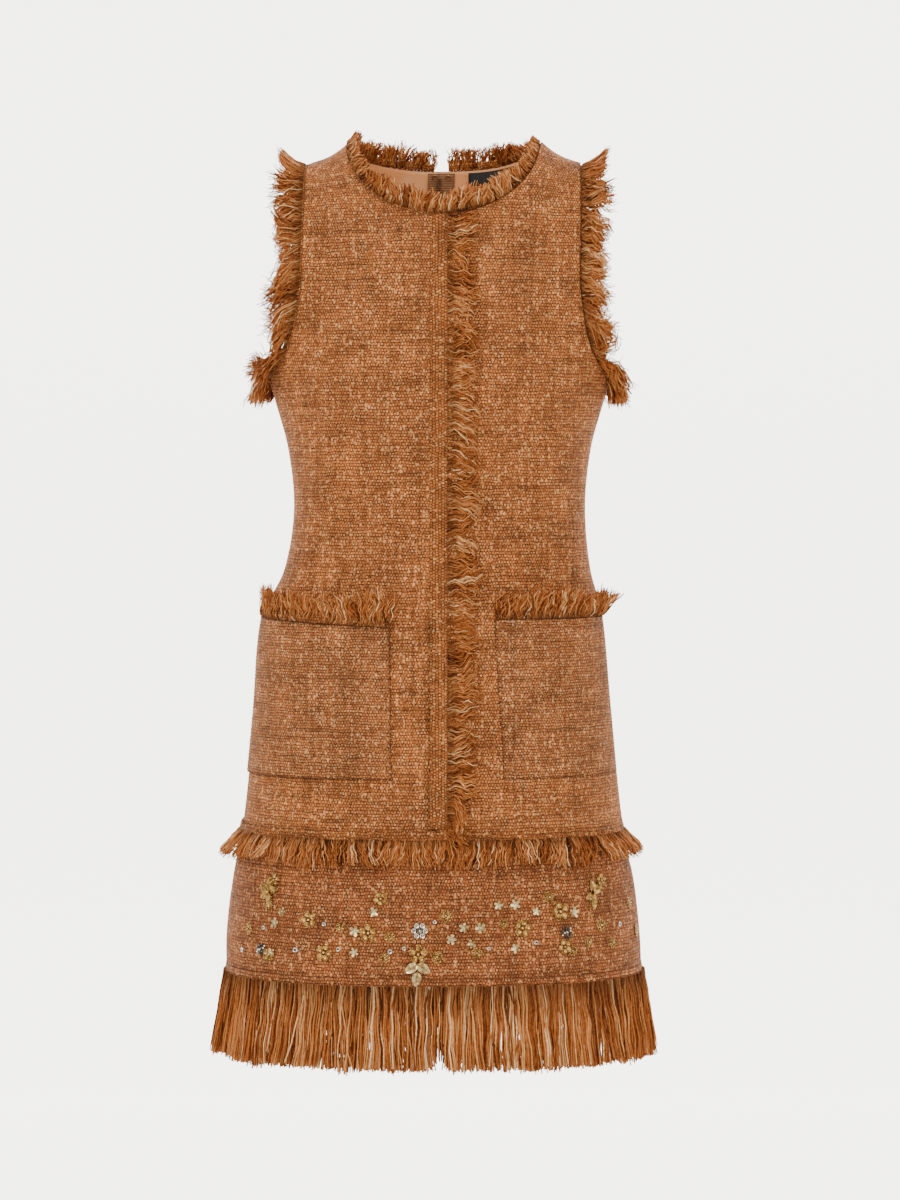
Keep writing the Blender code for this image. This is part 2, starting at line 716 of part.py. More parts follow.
def add_pocket_fringe(side_name, pocket, seed):
    """A pocket mouth's trim, standing up from the pocket's top edge."""
    columns, _ = pocket_lines(pocket)
    edge_level = 1 + UNDERARM_Z - POCKET_TOP_Z
    rails = []
    for column in range(len(columns) + 2):
        station = []
        for height in (SEAM_GAP, STRIP):
            outer = pocket_point(pocket, column, edge_level, columns, -WALL)
            inner = pocket_point(pocket, column, edge_level, columns, 0)
            station.append((outer + UP * height, inner + UP * height))
        if rails:
            half = [tuple(a.lerp(b, 0.5) for a, b in zip(old, new)) for old, new in zip(rails[-1], station)]
            rails.append(half)
        rails.append(station)

    def steer(centre, outward, along):
        level_out = Vector((outward.x, outward.y, 0)).normalized()
        side_share = abs(level_out.x)
        return (UP + level_out * (0.2 + 0.3 * side_share),
                UP * 0.8 + level_out * (0.3 + 0.5 * side_share))

    fringed_strip(f"pocket_fringe_{side_name}", rails, False, steer, seed, POCKET_LOCK)


# ---------------------------------------------------------------- fastenings and label

def back_frame(z):
    """The centre back at a height: its point, its outward normal and the direction up the cloth."""
    grid_place = place(0, z, BACK)
    normal = skin_normal(*grid_place, BACK)
    return skin(*grid_place, BACK), normal, ACROSS.cross(normal).normalized()


def add_block(name, low, high, frame, look):
    """A box in a frame of its own: an origin, then the axes of x, y and z."""
    origin, x_axis, y_axis, z_axis = frame
    points = []
    for x in (low[0], high[0]):
        for y in (low[1], high[1]):
            for z in (low[2], high[2]):
                points.append(origin + x_axis * x + y_axis * y + z_axis * z)
    faces = [[0, 1, 3, 2], [4, 6, 7, 5], [0, 4, 5, 1], [2, 3, 7, 6], [0, 2, 6, 4], [1, 5, 7, 3]]
    return add_solid(name, points, faces, look)


def extruded_ring(name, outer, inner, frame, half_width, look):
    """Two loops of (out, up) places with equal counts, extruded along the frame's x axis."""
    origin, x_axis, y_axis, z_axis = frame
    count = len(outer)
    points = []
    for x in (-half_width, half_width):
        for loop in (outer, inner):
            points += [origin + x_axis * x + y_axis * out + z_axis * up for out, up in loop]
    faces = []
    for index in range(count):
        after = (index + 1) % count
        faces.append([index, after, after + 2 * count, index + 2 * count])
        faces.append([index + count, index + 3 * count, after + 3 * count, after + count])
        faces.append([index, index + count, after + count, after])
        faces.append([index + 2 * count, after + 2 * count, after + 3 * count, index + 3 * count])
    return add_solid(name, points, faces, look)


def add_zip_slider():
    """The slider on the closed zip, with two lugs and a pin, and the pull tab that hangs on it."""
    point, normal, up = back_frame(SLIDER_Z)
    frame = (point + normal * LAY_GAP, ACROSS, normal, up)
    half = SLIDER_SIZE / 2
    slider = add_block("zip_slider", (-half.x, 0, -half.z), (half.x, SLIDER_SIZE.y, half.z), frame, GOLD)
    overlap = 0.0005
    joined = []
    for hand in (RIGHT, LEFT):
        edges = sorted((hand * half.x, hand * (half.x - LUG_THICKNESS)))
        low = (edges[0], SLIDER_SIZE.y - overlap, -half.z / 3)
        high = (edges[1], SLIDER_SIZE.y + LUG_HEIGHT, half.z / 3)
        joined.append(add_block(f"slider_lug_{hand}", low, high, frame, GOLD))
    pin_centre = frame[0] + normal * (SLIDER_SIZE.y + PIN_HEIGHT)
    bpy.ops.mesh.primitive_cylinder_add(
        vertices=10, radius=PIN_RADIUS, depth=SLIDER_SIZE.x - LUG_THICKNESS,
        location=pin_centre, rotation=(0, RIGHT_ANGLE, 0))
    pin = bpy.context.active_object
    pin.name = "slider_pin"
    joined.append(pin)
    for piece in joined:
        piece.hide_render = True
        piece.display_type = "WIRE"
        union = slider.modifiers.new(piece.name, "BOOLEAN")
        union.operation = "UNION"
        union.object = piece

    corners = 16
    outer, inner = [], []
    for index in range(corners):
        turn = 2 * math.pi * (index + 0.5) / corners - math.pi / 2
        out, rise = math.cos(turn), math.sin(turn)
        inner.append((out * EYE_RADIUS, rise * EYE_RADIUS))
        radius = EYE_RADIUS + EYE_WALL
        if index in (0, corners - 1):
            outer.append((math.copysign(TAB_THICKNESS / 2, out), -TAB_LENGTH))
        else:
            outer.append((out * radius, rise * radius))
    tilt_out = normal * math.cos(TAB_REST_TILT) + up * math.sin(TAB_REST_TILT)
    tilt_up = up * math.cos(TAB_REST_TILT) - normal * math.sin(TAB_REST_TILT)
    tab_frame = (pin_centre, ACROSS, tilt_out, tilt_up)
    extruded_ring("zip_pull_tab", outer, inner, tab_frame, TAB_HALF_WIDTH, GOLD)


def wire_ring(name, frame, radius, wire, start, end):
    """A round wire bent to an arc, or to a closed ring when it turns all the way."""
    centre, x_axis, y_axis, z_axis = frame
    closed = end - start >= 2 * math.pi - 1e-6
    bends = 14
    sides = 6
    rings = bends if closed else bends + 1
    points, faces = [], []
    for bend in range(rings):
        turn = start + (end - start) * bend / bends
        spoke = x_axis * math.cos(turn) + y_axis * math.sin(turn)
        for side in range(sides):
            around = 2 * math.pi * side / sides
            reach = radius + wire * math.cos(around)
            points.append(centre + spoke * reach + z_axis * (wire * math.sin(around)))
    for bend in range(bends):
        for side in range(sides):
            near, far = bend * sides, ((bend + 1) % rings) * sides
            after = (side + 1) % sides
            faces.append([near + side, near + after, far + after, far + side])
    if not closed:
        faces.append(list(range(sides)))
        faces.append(list(range((rings - 1) * sides, rings * sides)))
    return add_solid(name, points, faces, GOLD)


def add_hook_and_eye():
    """The hook and the eye above the zip, inside the neckline on each side of the centre back."""
    inside = WALL + LINING + TAPE + 4 * SEAM_GAP
    point, normal, up = back_frame(shoulder_z(NECK_HALF_WIDTH) - BACK_NECK_DROP - 0.0035)
    wire = 0.0005
    spread = 0.0064
    for name, hand, end in (("neck_hook", RIGHT, 1.5 * math.pi), ("neck_eye", LEFT, 2 * math.pi)):
        centre = point - normal * (inside + wire + LAY_GAP) + ACROSS * hand * spread
        wire_ring(name, (centre, ACROSS, up, normal), 0.0021, wire, 0, end)


def add_label():
    """A bare woven label inside the back neck, on the wearer's left, along the neckline."""
    inside = WALL + LINING + TAPE + 5 * SEAM_GAP
    thickness = 0.0006
    start_x, end_x, bends, height = 0.026, 0.068, 4, 0.013
    outer, inner = {}, {}
    for column in range(bends + 1):
        x = start_x + (end_x - start_x) * column / bends
        turn = math.acos(x / NECK_HALF_WIDTH)
        edge_z = shoulder_z(NECK_HALF_WIDTH) - BACK_NECK_DROP * math.sin(turn)
        for row, drop in enumerate((0.0005, height / 2, height)):
            grid_place = place(x, edge_z - drop, BACK)
            outer[row, column] = layer(grid_place, BACK, inside)
            inner[row, column] = layer(grid_place, BACK, inside + thickness)
    sheet("label", outer, inner, grid_quads(range(2), range(bends)), BLACK_WEAVE)


# ---------------------------------------------------------------- metal flowers and leaves

def rosette(name, x, z, outline, look):
    """A domed plate with a star-shaped outline, lying on the front of the hem band."""
    level = level_at(x, z, FRONT)
    grid_place = (angle_at(x, level), level)
    normal = skin_normal(*grid_place, FRONT)
    across = UP.cross(-normal).normalized()
    if across.x < 0:
        across = -across
    up = across.cross(-normal)
    up = up if up.z > 0 else -up
    centre = skin(*grid_place, FRONT) + normal * ORNAMENT_LIFT
    count = len(outline)
    points = []
    for lift in (0, ORNAMENT_EDGE):
        points += [centre + across * u + up * v + normal * lift for u, v in outline]
    points += [centre, centre + normal * ORNAMENT_DOME]
    faces = []
    for index in range(count):
        after = (index + 1) % count
        faces.append([index, after, 2 * count])
        faces.append([index + count, after + count, 2 * count + 1])
        faces.append([index, after, after + count, index + count])
    return add_solid(name, points, faces, look)


def flower_outline(radius, turn):
    outline = []
    steps = 4 * PETALS
    reach_by_step = (1.0, 0.9, 0.52, 0.9)
    for step in range(steps):
        angle = math.radians(turn) + 2 * math.pi * step / steps
        reach = radius * reach_by_step[step % 4]
        outline.append((reach * math.cos(angle), reach * math.sin(angle)))
    return outline


def sprig_outline(leaves):
    """Pointed leaves round one middle, with a notch between each two."""
    outline = []
    for number, leaf in enumerate(leaves):
        middle = math.radians(leaf.direction)
        broad = 0.55 * leaf.length
        half_angle = math.atan2(leaf.half_width, broad)
        reach = math.hypot(leaf.half_width, broad)
        for angle, radius in ((middle - half_angle, reach), (middle, leaf.length),
                              (middle + half_angle, reach)):
            outline.append((radius * math.cos(angle), radius * math.sin(angle)))
        following = leaves[(number + 1) % len(leaves)].direction
        notch = math.radians(leaf.direction + ((following - leaf.direction) % 360) / 2)
        outline.append((LEAF_NOTCH * math.cos(notch), LEAF_NOTCH * math.sin(notch)))
    return outline


# ---------------------------------------------------------------- the dress

for leftover in list(bpy.data.objects):
    bpy.data.objects.remove(leftover, do_unlink=True)

add_front()
for half_name, half_hand, half_seed in (("right", RIGHT, 5), ("left", LEFT, 8)):
    add_back(half_name, half_hand)
    add_zip_tape(half_name, half_hand)
    add_pocket(half_name, POCKETS[half_name])
    add_pocket_fringe(half_name, POCKETS[half_name], half_seed)
    add_armhole_fringe(half_name, half_hand, half_seed + 10)
add_hem_band("front", FRONT)
add_hem_band("back", BACK)
add_neck_fringe()
add_front_fringe()
add_mid_fringe()
add_hem_fringe()
add_zip_slider()
add_hook_and_eye()
add_label()
for flower in FLOWERS:
    rosette(flower.name, flower.x, flower.z, flower_outline(flower.radius, flower.turn), GOLD)
for sprig in SPRIGS:
    rosette(sprig.name, sprig.x, sprig.z, sprig_outline(sprig.leaves), GOLD)
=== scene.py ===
"""Looks of the sleeveless A-line mini dress in fringed tweed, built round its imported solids.

Metres, +Z up, the dress facing -Y and filled out as if worn. Sections follow the pieces that a maker
cuts and sews: front, backs, hem band, pockets, lining, zip, label, trims, stitching, ornaments.
"""
import math

import bmesh
import bpy
import numpy as np
from mathutils import Matrix, Vector


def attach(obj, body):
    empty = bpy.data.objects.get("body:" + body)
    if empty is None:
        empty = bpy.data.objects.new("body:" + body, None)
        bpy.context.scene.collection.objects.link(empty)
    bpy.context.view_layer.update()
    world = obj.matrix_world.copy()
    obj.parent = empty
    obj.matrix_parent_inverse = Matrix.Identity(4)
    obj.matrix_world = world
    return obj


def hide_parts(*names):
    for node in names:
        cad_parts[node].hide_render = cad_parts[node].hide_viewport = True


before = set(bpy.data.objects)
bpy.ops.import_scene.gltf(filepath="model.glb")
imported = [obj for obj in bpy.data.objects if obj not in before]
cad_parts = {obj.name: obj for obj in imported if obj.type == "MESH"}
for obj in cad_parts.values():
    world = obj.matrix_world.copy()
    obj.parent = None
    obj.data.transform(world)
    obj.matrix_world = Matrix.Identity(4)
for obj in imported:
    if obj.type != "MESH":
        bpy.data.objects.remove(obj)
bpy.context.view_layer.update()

# ---------------------------------------------------------------- front
# The front is cut in one with its shoulders, in a loose tweed of thick yarns at three to the
# centimetre. It is filled out to the form of a body and eases into soft hollows at the waist.

FRONT, BACK = -1, 1
RIGHT, LEFT = -1, 1
RIGHT_ANGLE = math.pi / 2
WALL = 0.002
SEAM_GAP = 0.0003
UNDERARM_Z = -0.192
MID_SEAM_Z = -0.604
SHOULDER_TIP_Z = -0.0005
SHOULDER_SLOPE = 0.35
NECK_HALF_WIDTH = 0.088
NECK_SWEEP_X = 0.112
NECK_SWEEP = 12
NECK_DROP = {FRONT: 0.070, BACK: 0.021}
ARMHOLE_X = 0.124
ARMHOLE_TURN_Z = -0.10
NECK_ROWS = 6
ARM_ROWS = 9
BODY_ROWS = 14
CAP_HALF_WIDTH = 0.19
CAP_SQUARENESS = {FRONT: 1.0, BACK: 0.75}
CAP_SWAY = 0.005
ROUNDNESS = 2.3

# height, half width, front depth, back depth, sway
BODY = np.array([
    (UNDERARM_Z, 0.1560, 0.117, 0.103, 0.000),
    (-0.217, 0.1485, 0.114, 0.100, 0.000),
    (-0.260, 0.1370, 0.104, 0.096, 0.000),
    (-0.315, 0.1320, 0.097, 0.092, 0.000),
    (-0.370, 0.1390, 0.103, 0.101, -0.002),
    (-0.410, 0.1535, 0.110, 0.110, -0.006),
    (-0.500, 0.1620, 0.119, 0.124, -0.006),
    (MID_SEAM_Z, 0.1730, 0.129, 0.134, -0.006),
    (-0.650, 0.1830, 0.137, 0.141, -0.005),
    (-0.700, 0.1890, 0.144, 0.147, -0.005),
    (-0.740, 0.1900, 0.147, 0.150, -0.004),
])
BODY_LAST = len(BODY) - 1
BODY_BEFORE = np.maximum(np.arange(len(BODY)) - 1, 0)
BODY_AFTER = np.minimum(np.arange(len(BODY)) + 1, BODY_LAST)
BODY_SLOPES = ((BODY[BODY_AFTER, 1:] - BODY[BODY_BEFORE, 1:])
               / (BODY[BODY_AFTER, :1] - BODY[BODY_BEFORE, :1]))

# Troughs and ridges in the cloth: start x, start z, end x, end z, rise and spread
FRONT_FOLDS = [
    (-0.085, -0.225, -0.078, -0.345, -0.0030, 0.010),
    (0.073, -0.235, 0.069, -0.350, -0.0030, 0.010),
    (-0.150, -0.300, -0.060, -0.322, -0.0022, 0.009),
    (-0.145, -0.330, -0.050, -0.338, 0.0020, 0.010),
    (0.140, -0.292, 0.045, -0.330, -0.0024, 0.010),
    (0.150, -0.325, 0.060, -0.352, 0.0020, 0.010),
    (-0.130, -0.225, -0.060, -0.262, -0.0020, 0.011),
    (0.135, -0.222, 0.070, -0.252, -0.0020, 0.011),
    (-0.105, -0.060, -0.080, -0.150, -0.0022, 0.014),
    (0.104, -0.055, 0.082, -0.140, -0.0020, 0.014),
    (-0.050, -0.385, -0.066, -0.590, -0.0020, 0.012),
    (0.045, -0.400, 0.050, -0.600, -0.0022, 0.011),
    (-0.110, -0.560, -0.118, -0.720, 0.0026, 0.020),
    (0.020, -0.610, 0.024, -0.735, -0.0024, 0.018),
    (0.100, -0.570, 0.110, -0.730, 0.0028, 0.020),
    (-0.040, -0.620, -0.044, -0.735, 0.0022, 0.018),
]
BACK_FOLDS = [
    (-0.070, -0.230, -0.074, -0.380, -0.0030, 0.010),
    (0.072, -0.232, 0.075, -0.376, -0.0030, 0.010),
    (-0.140, -0.305, -0.040, -0.330, -0.0024, 0.010),
    (0.142, -0.300, 0.038, -0.322, -0.0022, 0.010),
    (-0.120, -0.345, -0.030, -0.352, 0.0020, 0.010),
    (0.124, -0.340, 0.034, -0.348, 0.0020, 0.010),
    (-0.060, -0.430, -0.072, -0.600, -0.0022, 0.016),
    (0.064, -0.440, 0.074, -0.600, -0.0022, 0.016),
    (-0.110, -0.560, -0.120, -0.730, 0.0026, 0.020),
    (0.030, -0.610, 0.034, -0.735, -0.0024, 0.018),
    (0.106, -0.570, 0.114, -0.730, 0.0026, 0.020),
]


def body_at(z):
    """Half width, front depth, back depth and sway at heights z, on a smooth curve."""
    index = np.clip(np.searchsorted(-BODY[:, 0], -z) - 1, 0, BODY_LAST - 1)
    step = (BODY[index + 1, 0] - BODY[index, 0])[..., None]
    part = np.clip((z - BODY[index, 0])[..., None] / step, 0, 1)
    values = ((2 * part ** 3 - 3 * part ** 2 + 1) * BODY[index, 1:]
              + (part ** 3 - 2 * part ** 2 + part) * BODY_SLOPES[index] * step
              + (3 * part ** 2 - 2 * part ** 3) * BODY[index + 1, 1:]
              + (part ** 3 - part ** 2) * BODY_SLOPES[index + 1] * step)
    return np.moveaxis(values, -1, 0)


def shoulder_z(x):
    sweep = NECK_SWEEP * np.maximum(NECK_SWEEP_X - np.maximum(np.abs(x), NECK_HALF_WIDTH), 0) ** 2
    return SHOULDER_TIP_Z + SHOULDER_SLOPE * (ARMHOLE_X - np.abs(x)) + sweep


def signed_power(value, power):
    return np.sign(value) * np.abs(value) ** power


def skin(angle, level, side):
    """The body's form. Levels run from 0 at the shoulder seam to 1 at the underarm, then on in
    metres below it; the angle is 0 at the centre and a right angle at the side."""
    z = UNDERARM_Z - np.maximum(level - 1, 0)
    half_width, front_depth, back_depth, sway = body_at(z)
    cap = np.clip(1 - level, 0, 1)
    depth = front_depth if side == FRONT else back_depth
    across = half_width * (1 - cap) + CAP_HALF_WIDTH * cap
    x = across * signed_power(np.sin(angle), 2 / ROUNDNESS)
    y = side * depth * np.abs(np.cos(angle)) ** (2 / ROUNDNESS)
    tilt = cap * RIGHT_ANGLE
    rise = (shoulder_z(x) - UNDERARM_Z) * np.sin(tilt) ** CAP_SQUARENESS[side]
    x = x + np.where(level >= 1, sway, CAP_SWAY * cap)
    return np.stack([x, y * np.abs(np.cos(tilt)) ** CAP_SQUARENESS[side], z + rise], -1)


def unit(vectors):
    return vectors / np.maximum(np.linalg.norm(vectors, axis=-1, keepdims=True), 1e-12)


def skin_normal(angle, level, side):
    step = 2e-3
    along = skin(angle + step, level, side) - skin(angle - step, level, side)
    down = skin(angle, level + step, side) - skin(angle, np.maximum(level - step, 1e-4), side)
    return unit(np.cross(along, down)) * side


def place(x, z, side):
    """The angle and level of a place given by its distance across and its height."""
    x, z = np.broadcast_arrays(np.asarray(x, float), np.asarray(z, float))
    share = np.clip((z - UNDERARM_Z) / (shoulder_z(x) - UNDERARM_Z), 0, 1)
    cap = np.arcsin(share ** (1 / CAP_SQUARENESS[side])) / RIGHT_ANGLE
    level = np.where(z <= UNDERARM_Z, 1 + UNDERARM_Z - z, 1 - cap)
    half_width = body_at(UNDERARM_Z - np.maximum(level - 1, 0))[0]
    across = np.where(level >= 1, half_width, half_width * (1 - cap) + CAP_HALF_WIDTH * cap)
    angle = np.arcsin(np.clip(np.abs(x) / across, 0, 1) ** (ROUNDNESS / 2))
    return np.copysign(angle, x), level


def fold_rise(points, angle, side):
    """How far the folds lift the cloth. They fade out towards the side seams."""
    rise = np.zeros(points.shape[:-1])
    for x0, z0, x1, z1, height, spread in FRONT_FOLDS if side == FRONT else BACK_FOLDS:
        start, run = np.array((x0, z0)), np.array((x1 - x0, z1 - z0))
        offset = points[..., [0, 2]] - start
        along = np.clip(offset @ run / (run @ run), 0, 1)
        apart = np.linalg.norm(offset - along[..., None] * run, axis=-1)
        rise += height * np.exp(-(apart / spread) ** 2) * np.sin(np.pi * (0.12 + 0.76 * along))
    ripple = 0.0007 * np.sin(points[..., 0] * 95 + 2.1 * np.sin(points[..., 2] * 31))
    ripple *= 0.6 + 0.4 * np.sin(points[..., 2] * 57 + points[..., 0] * 23)
    return (rise + ripple) * np.clip(1.5 * np.cos(angle), 0, 1)


def cloth(angle, level, side, lift=0.0):
    """A point on the cloth's outside, folds included, lifted along its normal."""
    point = skin(angle, level, side)
    away = fold_rise(point, angle, side) + lift
    point = point + skin_normal(angle, level, side) * np.asarray(away)[..., None]
    clear = side * SEAM_GAP / 2
    point[..., 1] = np.where(side * point[..., 1] < SEAM_GAP / 2, clear, point[..., 1])
    return point


def weave_at(angle, level, side):
    """Where a place lies in the flat weave: its distance across from the centre, and along."""
    parts = np.linspace(0, 1, 13)
    across = skin(angle[..., None] * parts, level[..., None], side)
    across = np.linalg.norm(np.diff(across, axis=-2), axis=-1).sum(-1)
    up = skin(angle[..., None], 1 + (np.minimum(level, 1)[..., None] - 1) * parts, side)
    up = np.linalg.norm(np.diff(up, axis=-2), axis=-1).sum(-1)
    return np.stack([np.copysign(across, angle), up - np.maximum(level - 1, 0)], -1)


def panel_places(rows, shares, side, hand):
    """Angles and levels of a half panel's grid. Its rows run down the neckline and the centre on
    one side, and down the armhole and the side seam on the other."""
    row = rows[:, None]
    neck_z = shoulder_z(NECK_HALF_WIDTH)
    turn = RIGHT_ANGLE * np.clip(row / NECK_ROWS, 0, 1)
    below = np.clip((row - NECK_ROWS) / (ARM_ROWS - NECK_ROWS), 0, 1)
    inner_z = neck_z - NECK_DROP[side] * np.sin(turn)
    inner_z = inner_z + (UNDERARM_Z - inner_z) * below
    inner_x = np.where(row >= NECK_ROWS, 0, NECK_HALF_WIDTH * np.cos(turn))
    tip = shoulder_z(ARMHOLE_X)
    outer_z = tip + (UNDERARM_Z - tip) * np.sin(RIGHT_ANGLE * np.clip(row / ARM_ROWS, 0, 1))
    bend = np.clip((outer_z - ARMHOLE_TURN_Z) / (UNDERARM_Z - ARMHOLE_TURN_Z), 0, 1)
    outer_x = ARMHOLE_X + (BODY[0, 1] - ARMHOLE_X) * (1 - np.sqrt(1 - bend ** 2))
    inner, outer = place(inner_x, inner_z, side), place(outer_x, outer_z, side)
    low = 1 + (UNDERARM_Z - MID_SEAM_Z) * (row - ARM_ROWS) / BODY_ROWS
    inner_angle = np.where(row > ARM_ROWS, 0, inner[0])
    outer_angle = np.where(row > ARM_ROWS, RIGHT_ANGLE, outer[0])
    inner_level = np.where(row > ARM_ROWS, low, inner[1])
    outer_level = np.where(row > ARM_ROWS, low, outer[1])
    angle = inner_angle + (outer_angle - inner_angle) * shares
    return hand * angle, inner_level + (outer_level - inner_level) * shares


def sew_sheet(name, grids, thickness, finish):
    """A sheet of cloth from grids of points and their places in the weave, merged where they
    meet, turned to face outwards and given its thickness inwards."""
    shape = bmesh.new()
    weave = shape.loops.layers.uv.new("weave")
    for points, places in grids:
        corners = [[shape.verts.new(point) for point in row] for row in points]
        for row in range(len(corners) - 1):
            for column in range(len(corners[0]) - 1):
                quad = ((row, column), (row, column + 1), (row + 1, column + 1), (row + 1, column))
                face = shape.faces.new([corners[r][c] for r, c in quad])
                face.smooth = True
                for loop, (r, c) in zip(face.loops, quad):
                    loop[weave].uv = places[r, c]
    bmesh.ops.remove_doubles(shape, verts=shape.verts, dist=1e-6)
    shape.normal_update()
    outwards = 0
    for face in shape.faces:
        centre = face.calc_center_median()
        outwards += face.normal.dot(centre - Vector((0, 0, min(centre.z, -0.15)))) * face.calc_area()
    if outwards < 0:
        bmesh.ops.reverse_faces(shape, faces=shape.faces)
    mesh = bpy.data.meshes.new(name)
    shape.to_mesh(mesh)
    shape.free()
    mesh.materials.append(finish)
    piece = bpy.data.objects.new(name, mesh)
    bpy.context.scene.collection.objects.link(piece)
    wall = piece.modifiers.new("wall", "SOLIDIFY")
    wall.thickness = thickness
    wall.offset = -1
    bpy.ops.object.select_all(action="DESELECT")
    piece.select_set(True)
    bpy.context.view_layer.objects.active = piece
    bpy.ops.object.modifier_apply(modifier=wall.name)
    return piece


def linear(colour):
    """An sRGB hex colour as the linear values that a shader takes."""
    shares = [int(colour[index:index + 2], 16) / 255 for index in (1, 3, 5)]
    values = [share / 12.92 if share <= 0.04045 else ((share + 0.055) / 1.055) ** 2.4
              for share in shares]
    return (*values, 1)


def add_node(tree, kind, settings=(), links=()):
    """Adds a node with its properties or input values, and the outputs that feed its inputs."""
    node = tree.nodes.new(kind)
    for key, value in dict(settings).items():
        if isinstance(key, str) and key in node.bl_rna.properties:
            setattr(node, key, value)
        else:
            node.inputs[key].default_value = value
    for key, output in dict(links).items():
        tree.links.new(output, node.inputs[key])
    return node


def set_ramp(node, stops):
    ramp = node.color_ramp
    while len(ramp.elements) > 1:
        ramp.elements.remove(ramp.elements[-1])
    ramp.elements[0].position, ramp.elements[0].color = stops[0][0], linear(stops[0][1])
    for position, colour in stops[1:]:
        ramp.elements.new(position).color = linear(colour)


def tweed(name, dark, deep, body, light, fleck, row_pitch=2.9, end_pitch=3.1):
    """Wool-blend boucle tweed, woven loosely from thick slubby yarns with a gold-film thread. Its
    yarns show one by one as short dashes, with the gaps between them painted dark as shade; the pitches are in
    millimetres."""
    finish = bpy.data.materials.new(name)
    finish.use_nodes = True
    tree = finish.node_tree
    shader = tree.nodes["Principled BSDF"]
    place_in_weave = add_node(tree, "ShaderNodeUVMap", {"uv_map": "weave"})
    in_mm = add_node(tree, "ShaderNodeVectorMath", {"operation": "SCALE", "Scale": 1000},
                     {0: place_in_weave.outputs[0]})
    waver = add_node(tree, "ShaderNodeTexNoise", {"Scale": 0.11, "Detail": 2}, {0: in_mm.outputs[0]})
    waver_mid = add_node(tree, "ShaderNodeVectorMath", {"operation": "SUBTRACT", 1: (0.5, 0.5, 0.5)},
                         {0: waver.outputs["Color"]})
    waver_mm = add_node(tree, "ShaderNodeVectorMath", {"operation": "SCALE", "Scale": 3.2},
                        {0: waver_mid.outputs[0]})
    slub = add_node(tree, "ShaderNodeTexNoise", {"Scale": 0.42, "Detail": 2}, {0: in_mm.outputs[0]})
    slub_mid = add_node(tree, "ShaderNodeVectorMath", {"operation": "SUBTRACT", 1: (0.5, 0.5, 0.5)},
                        {0: slub.outputs["Color"]})
    slub_mm = add_node(tree, "ShaderNodeVectorMath", {"operation": "SCALE", "Scale": 1.0},
                       {0: slub_mid.outputs[0]})
    wavered = add_node(tree, "ShaderNodeVectorMath", {"operation": "ADD"},
                       {0: in_mm.outputs[0], 1: waver_mm.outputs[0]})
    yarn_mm = add_node(tree, "ShaderNodeVectorMath", {"operation": "ADD"},
                       {0: wavered.outputs[0], 1: slub_mm.outputs[0]})
    parts = add_node(tree, "ShaderNodeSeparateXYZ", {}, {0: yarn_mm.outputs[0]})
    turned = add_node(tree, "ShaderNodeCombineXYZ", {}, {0: parts.outputs[1], 1: parts.outputs[0]})
    black, white, grey = (0, 0, 0, 1), (1, 1, 1, 1), (0.5, 0.5, 0.5, 1)
    rows = add_node(tree, "ShaderNodeTexBrick", {
        "offset": 0.5, "Color1": black, "Color2": white, "Mortar": grey, "Scale": 1,
        "Mortar Size": 0.62, "Mortar Smooth": 1, "Brick Width": 2.6, "Row Height": row_pitch},
        {"Vector": yarn_mm.outputs[0]})
    ends = add_node(tree, "ShaderNodeTexBrick", {
        "offset": 0.5, "Color1": black, "Color2": white, "Mortar": grey, "Scale": 1,
        "Mortar Size": 0.7, "Mortar Smooth": 1, "Brick Width": 3.8, "Row Height": end_pitch},
        {"Vector": turned.outputs[0]})
    row_tone = add_node(tree, "ShaderNodeSeparateColor", {}, {0: rows.outputs["Color"]})
    end_tone = add_node(tree, "ShaderNodeSeparateColor", {}, {0: ends.outputs["Color"]})
    end_shows = add_node(tree, "ShaderNodeMapRange", {"From Min": 0.74, "From Max": 0.88},
                         {"Value": end_tone.outputs[0]})
    end_body = add_node(tree, "ShaderNodeMath", {"operation": "SUBTRACT", 0: 1.0},
                        {1: ends.outputs["Fac"]})
    end_mask = add_node(tree, "ShaderNodeMath", {"operation": "MULTIPLY"},
                        {0: end_shows.outputs[0], 1: end_body.outputs[0]})

    row_colour = add_node(tree, "ShaderNodeValToRGB", {}, {0: row_tone.outputs[0]})
    set_ramp(row_colour, [(0.0, deep), (0.26, body), (0.74, body), (1.0, light)])
    end_colour = add_node(tree, "ShaderNodeValToRGB", {}, {0: end_tone.outputs[0]})
    set_ramp(end_colour, [(0.0, deep), (0.80, body), (1.0, light)])
    # Painted shade: the gaps between the yarns take the dark colour, broken up by the slubs.
    gap_open = add_node(tree, "ShaderNodeMapRange", {
        "From Min": 0.36, "From Max": 0.54, "To Min": 0.30, "To Max": 1.0}, {"Value": slub.outputs["Fac"]})
    gap_shade_depth = add_node(tree, "ShaderNodeMath", {"operation": "MULTIPLY"},
                         {0: rows.outputs["Fac"], 1: gap_open.outputs[0]})
    gapped_with_painted_shade = add_node(tree, "ShaderNodeMix", {"data_type": "RGBA", 7: linear(dark)},
                      {0: gap_shade_depth.outputs[0], 6: row_colour.outputs[0]})
    woven = add_node(tree, "ShaderNodeMix", {"data_type": "RGBA"},
                     {0: end_mask.outputs[0], 6: gapped_with_painted_shade.outputs[2], 7: end_colour.outputs[0]})

